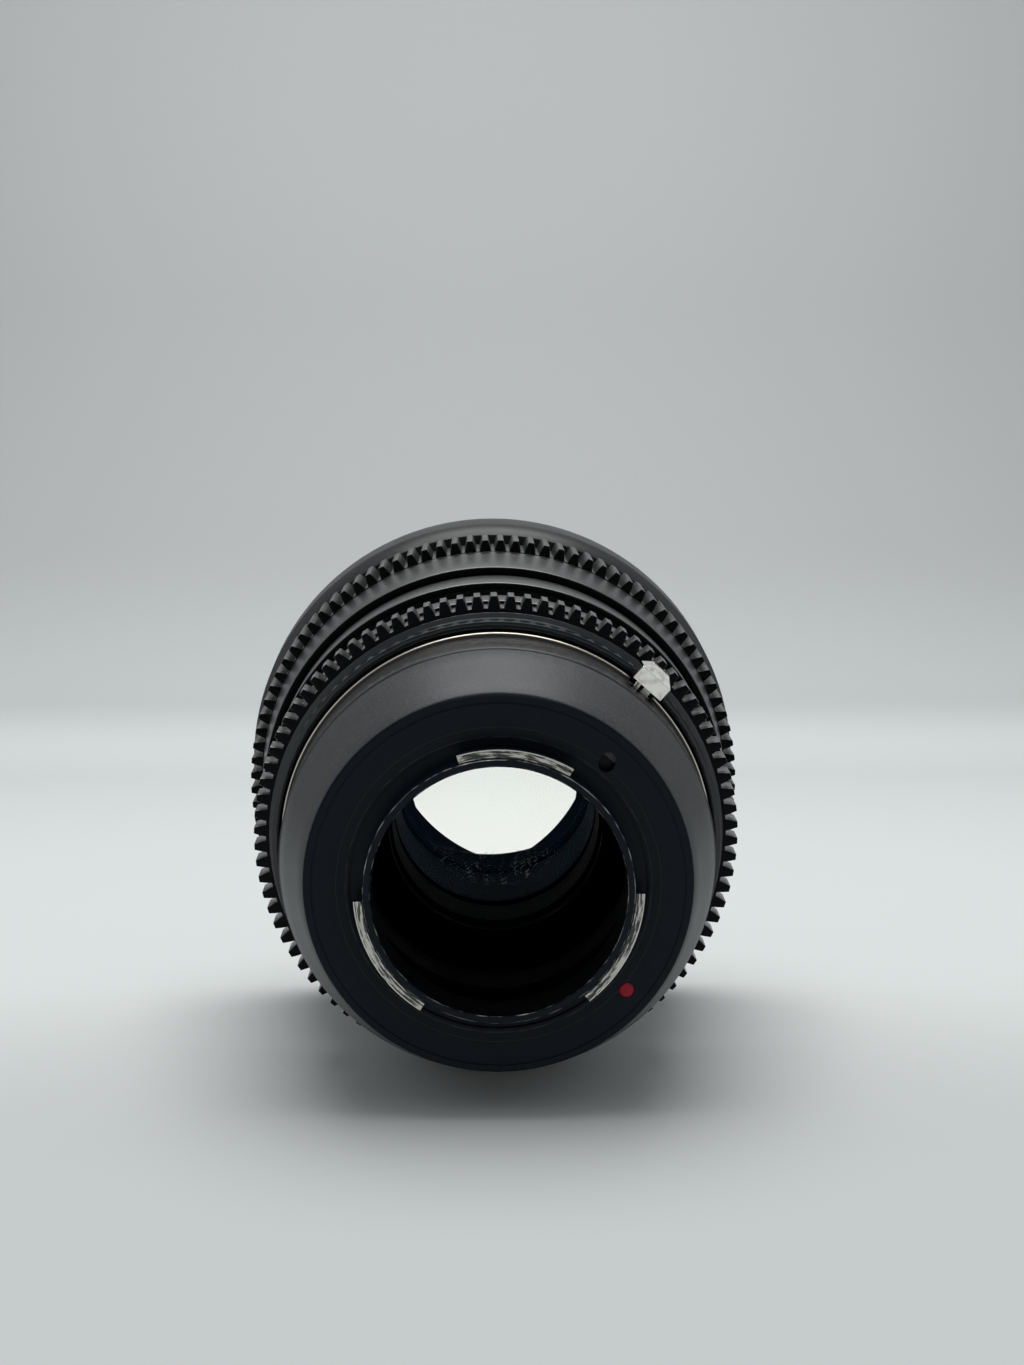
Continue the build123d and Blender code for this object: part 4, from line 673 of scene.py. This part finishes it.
@dataclass
class Adapter:
    """The body adapter on the rear of the lens."""

    cone_colour: Colour = (0.024, 0.026, 0.028)
    cone_grain_mm: float = 0.4
    cone_grain_depth_mm: float = 0.035
    barrel_colour: Colour = (0.012, 0.012, 0.013)
    lip_colour: Colour = (0.62, 0.57, 0.49)
    lip_dull_colour: Colour = (0.070, 0.066, 0.062)
    lip_inside_mm: float = 31.98
    knob_colour: Colour = (0.94, 0.91, 0.86)
    knob_stain: Colour = (0.30, 0.26, 0.22)
    plating_inside_mm: float = 28.0

    def dress(self) -> None:
        """Finishes its pieces."""
        steel = BareMetal("adapter_steel", PLATING, roughness=0.22)
        cone = Anodised(
            "cone_coat", self.cone_colour, roughness=0.46, fleck=0.9,
            grain_mm=self.cone_grain_mm, grain_depth_mm=self.cone_grain_depth_mm,
        )
        gloss = GlossBlack("adapter_gloss", self.barrel_colour, roughness=0.3)
        lip = BareMetal(
            "lip_silver", self.lip_colour, roughness=0.34,
            dull_inside_mm=self.lip_inside_mm, dull_colour=self.lip_dull_colour,
        )
        knob = BareMetal(
            "knob_steel", self.knob_colour, roughness=0.08, stain=self.knob_stain, stain_share=0.6,
        )
        plated = BareMetal(
            "lens_bayonet_plating", PLATING, roughness=0.22, dull_inside_mm=self.plating_inside_mm,
        )
        dress(("bayonet_plate",), FlangeFace().paint())
        dress(("index_dot",), Enamel().paint(), Softness.CRISP)
        dress(("adapter_cone",), cone.paint(), Softness.PLAIN)
        dress(("adapter_barrel",), gloss.paint(), Softness.PLAIN)
        dress(("adapter_lens_ring",), lip.paint(), Softness.CRISP)
        dress(("adapter_baffle",), MatteBlack("baffle_black").paint())
        dress(("release_knob",), knob.paint(), Softness.FACETED)
        dress(("release_slider", "adapter_ring_screws", "release_spring"), steel.paint())
        dress(("lens_bayonet", "lens_bayonet_screws"), plated.paint())


@dataclass
class Barrel:
    """The fixed barrel of the lens with its rings."""

    satin_colour: Colour = (0.0035, 0.0038, 0.0042)
    rear_colour: Colour = (0.013, 0.0165, 0.0195)

    def dress(self) -> None:
        """Finishes its pieces."""
        satin = Anodised("barrel_coat", self.satin_colour, roughness=0.38, gloss=0.06, polish=1.0)
        dress(("main_barrel", "index_ring"), satin.paint(), Softness.PLAIN)
        dress(("aperture_retainer",), GlossBlack("retainer_gloss").paint(), Softness.CRISP)
        dress(("rear_barrel_ring",), GlossBlack("rear_gloss", self.rear_colour).paint(), Softness.CRISP)
        dress(("guide_keys", "guide_key_screws"), BareMetal("barrel_steel", STEEL).paint())


@dataclass
class ApertureRing:
    """The aperture ring with its link to the iris."""

    colour: Colour = (0.0050, 0.0053, 0.0060)
    root_radius_mm: float = 35.0
    gear_rear_mm: float = 27.79
    gear_front_mm: float = 32.18

    def dress(self) -> None:
        """Finishes its pieces."""
        valley = Valley(self.root_radius_mm, self.gear_rear_mm, self.gear_front_mm)
        coat = Anodised(
            "aperture_coat", self.colour, roughness=0.34, gloss=0.06, polish=1.0, valley=valley,
        )
        dress(("aperture_ring",), coat.paint(), Softness.PLAIN)
        dress(("aperture_link", "aperture_link_screw"), BareMetal("link_steel", STEEL).paint())


@dataclass
class FocusRing:
    """The focus ring with its half of the helicoid."""

    colour: Colour = (0.0026, 0.0028, 0.0030)
    brass: Colour = (0.72, 0.52, 0.24)

    def dress(self) -> None:
        """Finishes its pieces."""
        coat = Anodised("focus_coat", self.colour, roughness=0.40, gloss=0.05, polish=0.9)
        dress(("focus_ring",), coat.paint(), Softness.PLAIN)
        dress(("outer_helicoid",), BareMetal("helicoid_brass", self.brass).paint())
        dress(("focus_ring_screws",), BareMetal("focus_steel", STEEL).paint())


@dataclass
class OpticalUnit:
    """What slides with focus: the glass, its cells, the iris and the front ring."""

    blades: int = 8
    rear_scratch_share: float = 0.4
    front_colour: Colour = (0.0030, 0.0032, 0.0035)
    blade_colour: Colour = (0.026, 0.028, 0.029)
    rear_coating: Colour = (0.08, 0.42, 0.95)
    middle_coating: Colour = (0.10, 0.42, 0.85)
    inner_coating: Colour = (0.08, 0.45, 0.95)
    front_coating: Colour = (0.35, 0.55, 0.60)

    def dress(self) -> None:
        """Finishes its pieces."""
        front = Anodised("front_coat", self.front_colour, roughness=0.38, gloss=0.38)
        dress(("front_ring",), front.paint(), Softness.SOFT)
        rear_cells = ("rear_cell", "rear_retainer", "rear_spacer", "front_spacer")
        front_cells = ("front_cell", "front_retainer", "front_bezel")
        inner = ("iris_housing", "iris_front_plate", "inner_helicoid")
        dress((*rear_cells, *front_cells, *inner), MatteBlack("cell_black").paint())
        dress(("front_ring_screws", "rear_cell_screws"), BareMetal("cell_steel", STEEL).paint())
        dress(("iris_drive_ring",), MatteBlack("drive_black").paint())
        blade = Anodised("blade_coat", self.blade_colour, roughness=0.45, gloss=0.3)
        dress(tuple(f"iris_blade_{n + 1}" for n in range(self.blades)), blade.paint())
        glasses = (
            ("rear_glass", self.rear_coating, self.rear_scratch_share),
            ("middle_glass", self.middle_coating, 0.0),
            ("inner_doublet", self.inner_coating, 0.0),
            ("front_glass", self.front_coating, 0.0),
        )
        for name, coating, scratches in glasses:
            dress((name,), CoatedGlass(f"{name}_coating", coating, scratch_share=scratches).paint())


@dataclass(frozen=True)
class SoftLamp:
    """A rectangular area lamp."""

    name: str
    width_m: float
    depth_m: float
    watts: float
    along_mm: float
    above_mm: float

    def hang(self, place: Vector, tilt: float) -> None:
        """Adds the lamp to the scene.

        Args:
            place: Where it hangs, in metres.
            tilt: Its turn about X from pointing down, in radians.
        """
        lamp = bpy.data.lights.new(self.name, "AREA")
        lamp.shape = "RECTANGLE"
        lamp.size = self.width_m
        lamp.size_y = self.depth_m
        lamp.energy = self.watts
        holder = bpy.data.objects.new(self.name, lamp)
        holder.location = place
        holder.rotation_euler = (tilt, 0, 0)
        bpy.context.scene.collection.objects.link(holder)


@dataclass(frozen=True)
class Room:
    """The dim room round the sheet: its light by direction, and how bright the camera sees it."""

    tint: Colour = (0.96, 1.0, 1.02)
    above: float = 0.38
    ahead: float = 0.14
    sides: float = 0.50
    least: float = 0.02
    seen: float = 0.47

    def build(self) -> None:
        """Adds the room as the scene's world."""
        world = bpy.data.worlds.new("room")
        world.use_nodes = True
        board = Board(world.node_tree)
        aside, ahead, up = board.apart(board.node("ShaderNodeTexCoord").outputs["Generated"])
        ceiling = up.rise(-0.15, 0.9) * self.above
        wall = ahead.rise(-0.35, 0.6) * self.ahead
        flanks = (aside * aside).rise(0.3, 0.95) * self.sides
        level = ceiling + wall + flanks + self.least
        seen = Field(board, board.node("ShaderNodeLightPath").outputs["Is Camera Ray"])
        shown = level * (1 - seen) + seen * self.seen
        inputs = {"Color": (*self.tint, 1.0), "Strength": shown}
        background = board.node("ShaderNodeBackground", inputs=inputs)
        board.node("ShaderNodeOutputWorld", inputs={"Surface": background.outputs[0]})
        bpy.context.scene.world = world


@dataclass
class Studio:
    """The pale sheet that the lens rests on, the light and the camera."""

    rest_station_mm: float = 27.79
    rest_height_mm: float = -36.8
    far_rest_station_mm: float = 64.45
    far_rest_height_mm: float = -41.2
    near_end_mm: float = -1500.0
    strip_mm: float = 60.0
    bend_start_mm: float = 820.0
    bend_radius_mm: float = 260.0
    bend_steps: int = 24
    wall_height_mm: float = 1500.0
    half_width_mm: float = 560.0
    # One paper in lit and shaded copies: painted shade in front of the lens and up the wall, painted light
    # past the lens.
    shaded_near_paper: Colour = (0.57, 0.59, 0.585)
    lit_far_paper: Colour = (0.69, 0.715, 0.705)
    shaded_wall_paper: Colour = (0.535, 0.55, 0.55)
    # Painted light: a brighter paper colour where it is seen through the glass.
    lit_through_glass: Colour = (0.87, 0.89, 0.83)
    overhead: SoftLamp = SoftLamp(
        "overhead", width_m=0.55, depth_m=0.75, watts=4.2, along_mm=120.0, above_mm=720.0,
    )
    wall_wash: SoftLamp = SoftLamp(
        "wall_wash", width_m=0.9, depth_m=0.35, watts=2.6, along_mm=420.0, above_mm=560.0,
    )
    wall_wash_tilt_deg: float = 84.0
    camera_mm: tuple[float, float, float] = (-3.44, -267.49, 76.85)
    pitch_deg: float = 10.205
    yaw_deg: float = 1.13
    lens_mm: float = 52.75
    sensor_mm: float = 36.0
    clip_m: tuple[float, float] = (0.01, 10.0)

    @property
    def lean(self) -> float:
        """How far the sheet leans against the lens's axis, in radians."""
        fall = self.rest_height_mm - self.far_rest_height_mm
        return math.atan2(fall, self.far_rest_station_mm - self.rest_station_mm)

    def on_sheet(self, across: float, along: float, above: float) -> Vector:
        """A point by its place on the sheet.

        Args:
            across: Its X in millimetres.
            along: Its distance in front of the rear contact.
            above: Its height over the sheet.

        Returns:
            The point in the row frame, in metres.
        """
        run = Vector((0, math.cos(self.lean), -math.sin(self.lean)))
        rise = Vector((0, math.sin(self.lean), math.cos(self.lean)))
        origin = Vector((across, self.rest_station_mm, self.rest_height_mm))
        return (origin + run * along + rise * above) * MM

    def profile(self) -> list[tuple[float, float]]:
        """The sheet's section: flat under the lens, bent up far behind it.

        Returns:
            Its points, each a distance along and a height above, in millimetres.
        """
        strips = int((self.bend_start_mm - self.near_end_mm) / self.strip_mm)
        points = [(self.near_end_mm + strip * self.strip_mm, 0.0) for strip in range(strips)]
        for step in range(self.bend_steps + 1):
            bend = math.pi / 2 * step / self.bend_steps
            along = self.bend_start_mm + self.bend_radius_mm * math.sin(bend)
            points.append((along, self.bend_radius_mm * (1 - math.cos(bend))))
        points.append((self.bend_start_mm + self.bend_radius_mm, self.wall_height_mm))
        return points

    def sheet(self) -> bpy.types.Object:
        """The paper sweep.

        Returns:
            The sheet.
        """
        path = self.profile()
        mesh = bpy.data.meshes.new("sheet")
        corners = [self.on_sheet(side * self.half_width_mm, *place) for place in path for side in (-1, 1)]
        faces = [(2 * i, 2 * i + 1, 2 * i + 3, 2 * i + 2) for i in range(len(path) - 1)]
        mesh.from_pydata(corners, [], faces)
        mesh.shade_smooth()
        sheet = bpy.data.objects.new("sheet", mesh)
        bpy.context.scene.collection.objects.link(sheet)
        mesh.materials.append(self.paper())
        return sheet

    def paper(self) -> bpy.types.Material:
        """Pale paper with painted light and shade: darker in front of the lens and up the wall, brightest
        past the lens, and a brighter warm white where it is seen through the glass.

        Returns:
            The material.
        """
        p = Painter("sheet_paper")
        # Painted shade in front of the lens and painted light past it.
        lit_past_lens = p.station.rise(-20.0, 90.0)
        # Painted shade up the wall.
        wall = p.z.rise(-190.0, -60.0) * p.station.rise(560.0, 900.0)
        colour = p.mix(lit_past_lens, self.shaded_near_paper, self.lit_far_paper)
        colour = p.mix(wall, colour, self.shaded_wall_paper)
        path = p.node("ShaderNodeLightPath").outputs
        # Painted light: the paper turns brighter where it is seen through the glass.
        colour = p.mix(Field(p, path["Is Transmission Ray"]), colour, self.lit_through_glass)
        return p.close(p.surface({"Base Color": colour, "Roughness": 0.85, "Specular IOR Level": 0.2}))

    def lights(self) -> None:
        """A large soft light over the lens, one on the wall, and a dim room around them."""
        for lamp, tilt in (
            (self.overhead, -self.lean),
            (self.wall_wash, math.radians(self.wall_wash_tilt_deg)),
        ):
            lamp.hang(self.on_sheet(0, lamp.along_mm, lamp.above_mm), tilt)
        Room().build()

    def camera(self) -> None:
        """The camera at the photograph's place."""
        data = bpy.data.cameras.new("camera")
        data.lens = self.lens_mm
        data.sensor_width = self.sensor_mm
        data.clip_start, data.clip_end = self.clip_m
        eye = bpy.data.objects.new("camera", data)
        pitch, yaw = math.radians(self.pitch_deg), math.radians(self.yaw_deg)
        level = math.cos(pitch)
        ahead = Vector((math.sin(yaw) * level, math.cos(yaw) * level, -math.sin(pitch)))
        eye.location = Vector(self.camera_mm) * MM
        eye.rotation_mode = "QUATERNION"
        eye.rotation_quaternion = ahead.to_track_quat("-Z", "Y")
        bpy.context.scene.collection.objects.link(eye)
        bpy.context.scene.camera = eye

    def build(self) -> None:
        """Sets the whole studio up."""
        self.sheet()
        self.lights()
        self.camera()
        bpy.context.scene.view_settings.view_transform = "Standard"


def main() -> None:
    """Dresses the lens and sets up the studio."""
    logging.basicConfig(level=logging.INFO, format="%(message)s")
    Studio().build()
    for part in (Adapter(), Barrel(), ApertureRing(), FocusRing(), OpticalUnit()):
        part.dress()
        LOG.info("finished %s", type(part).__name__)


if __name__ == "__main__":
    main()
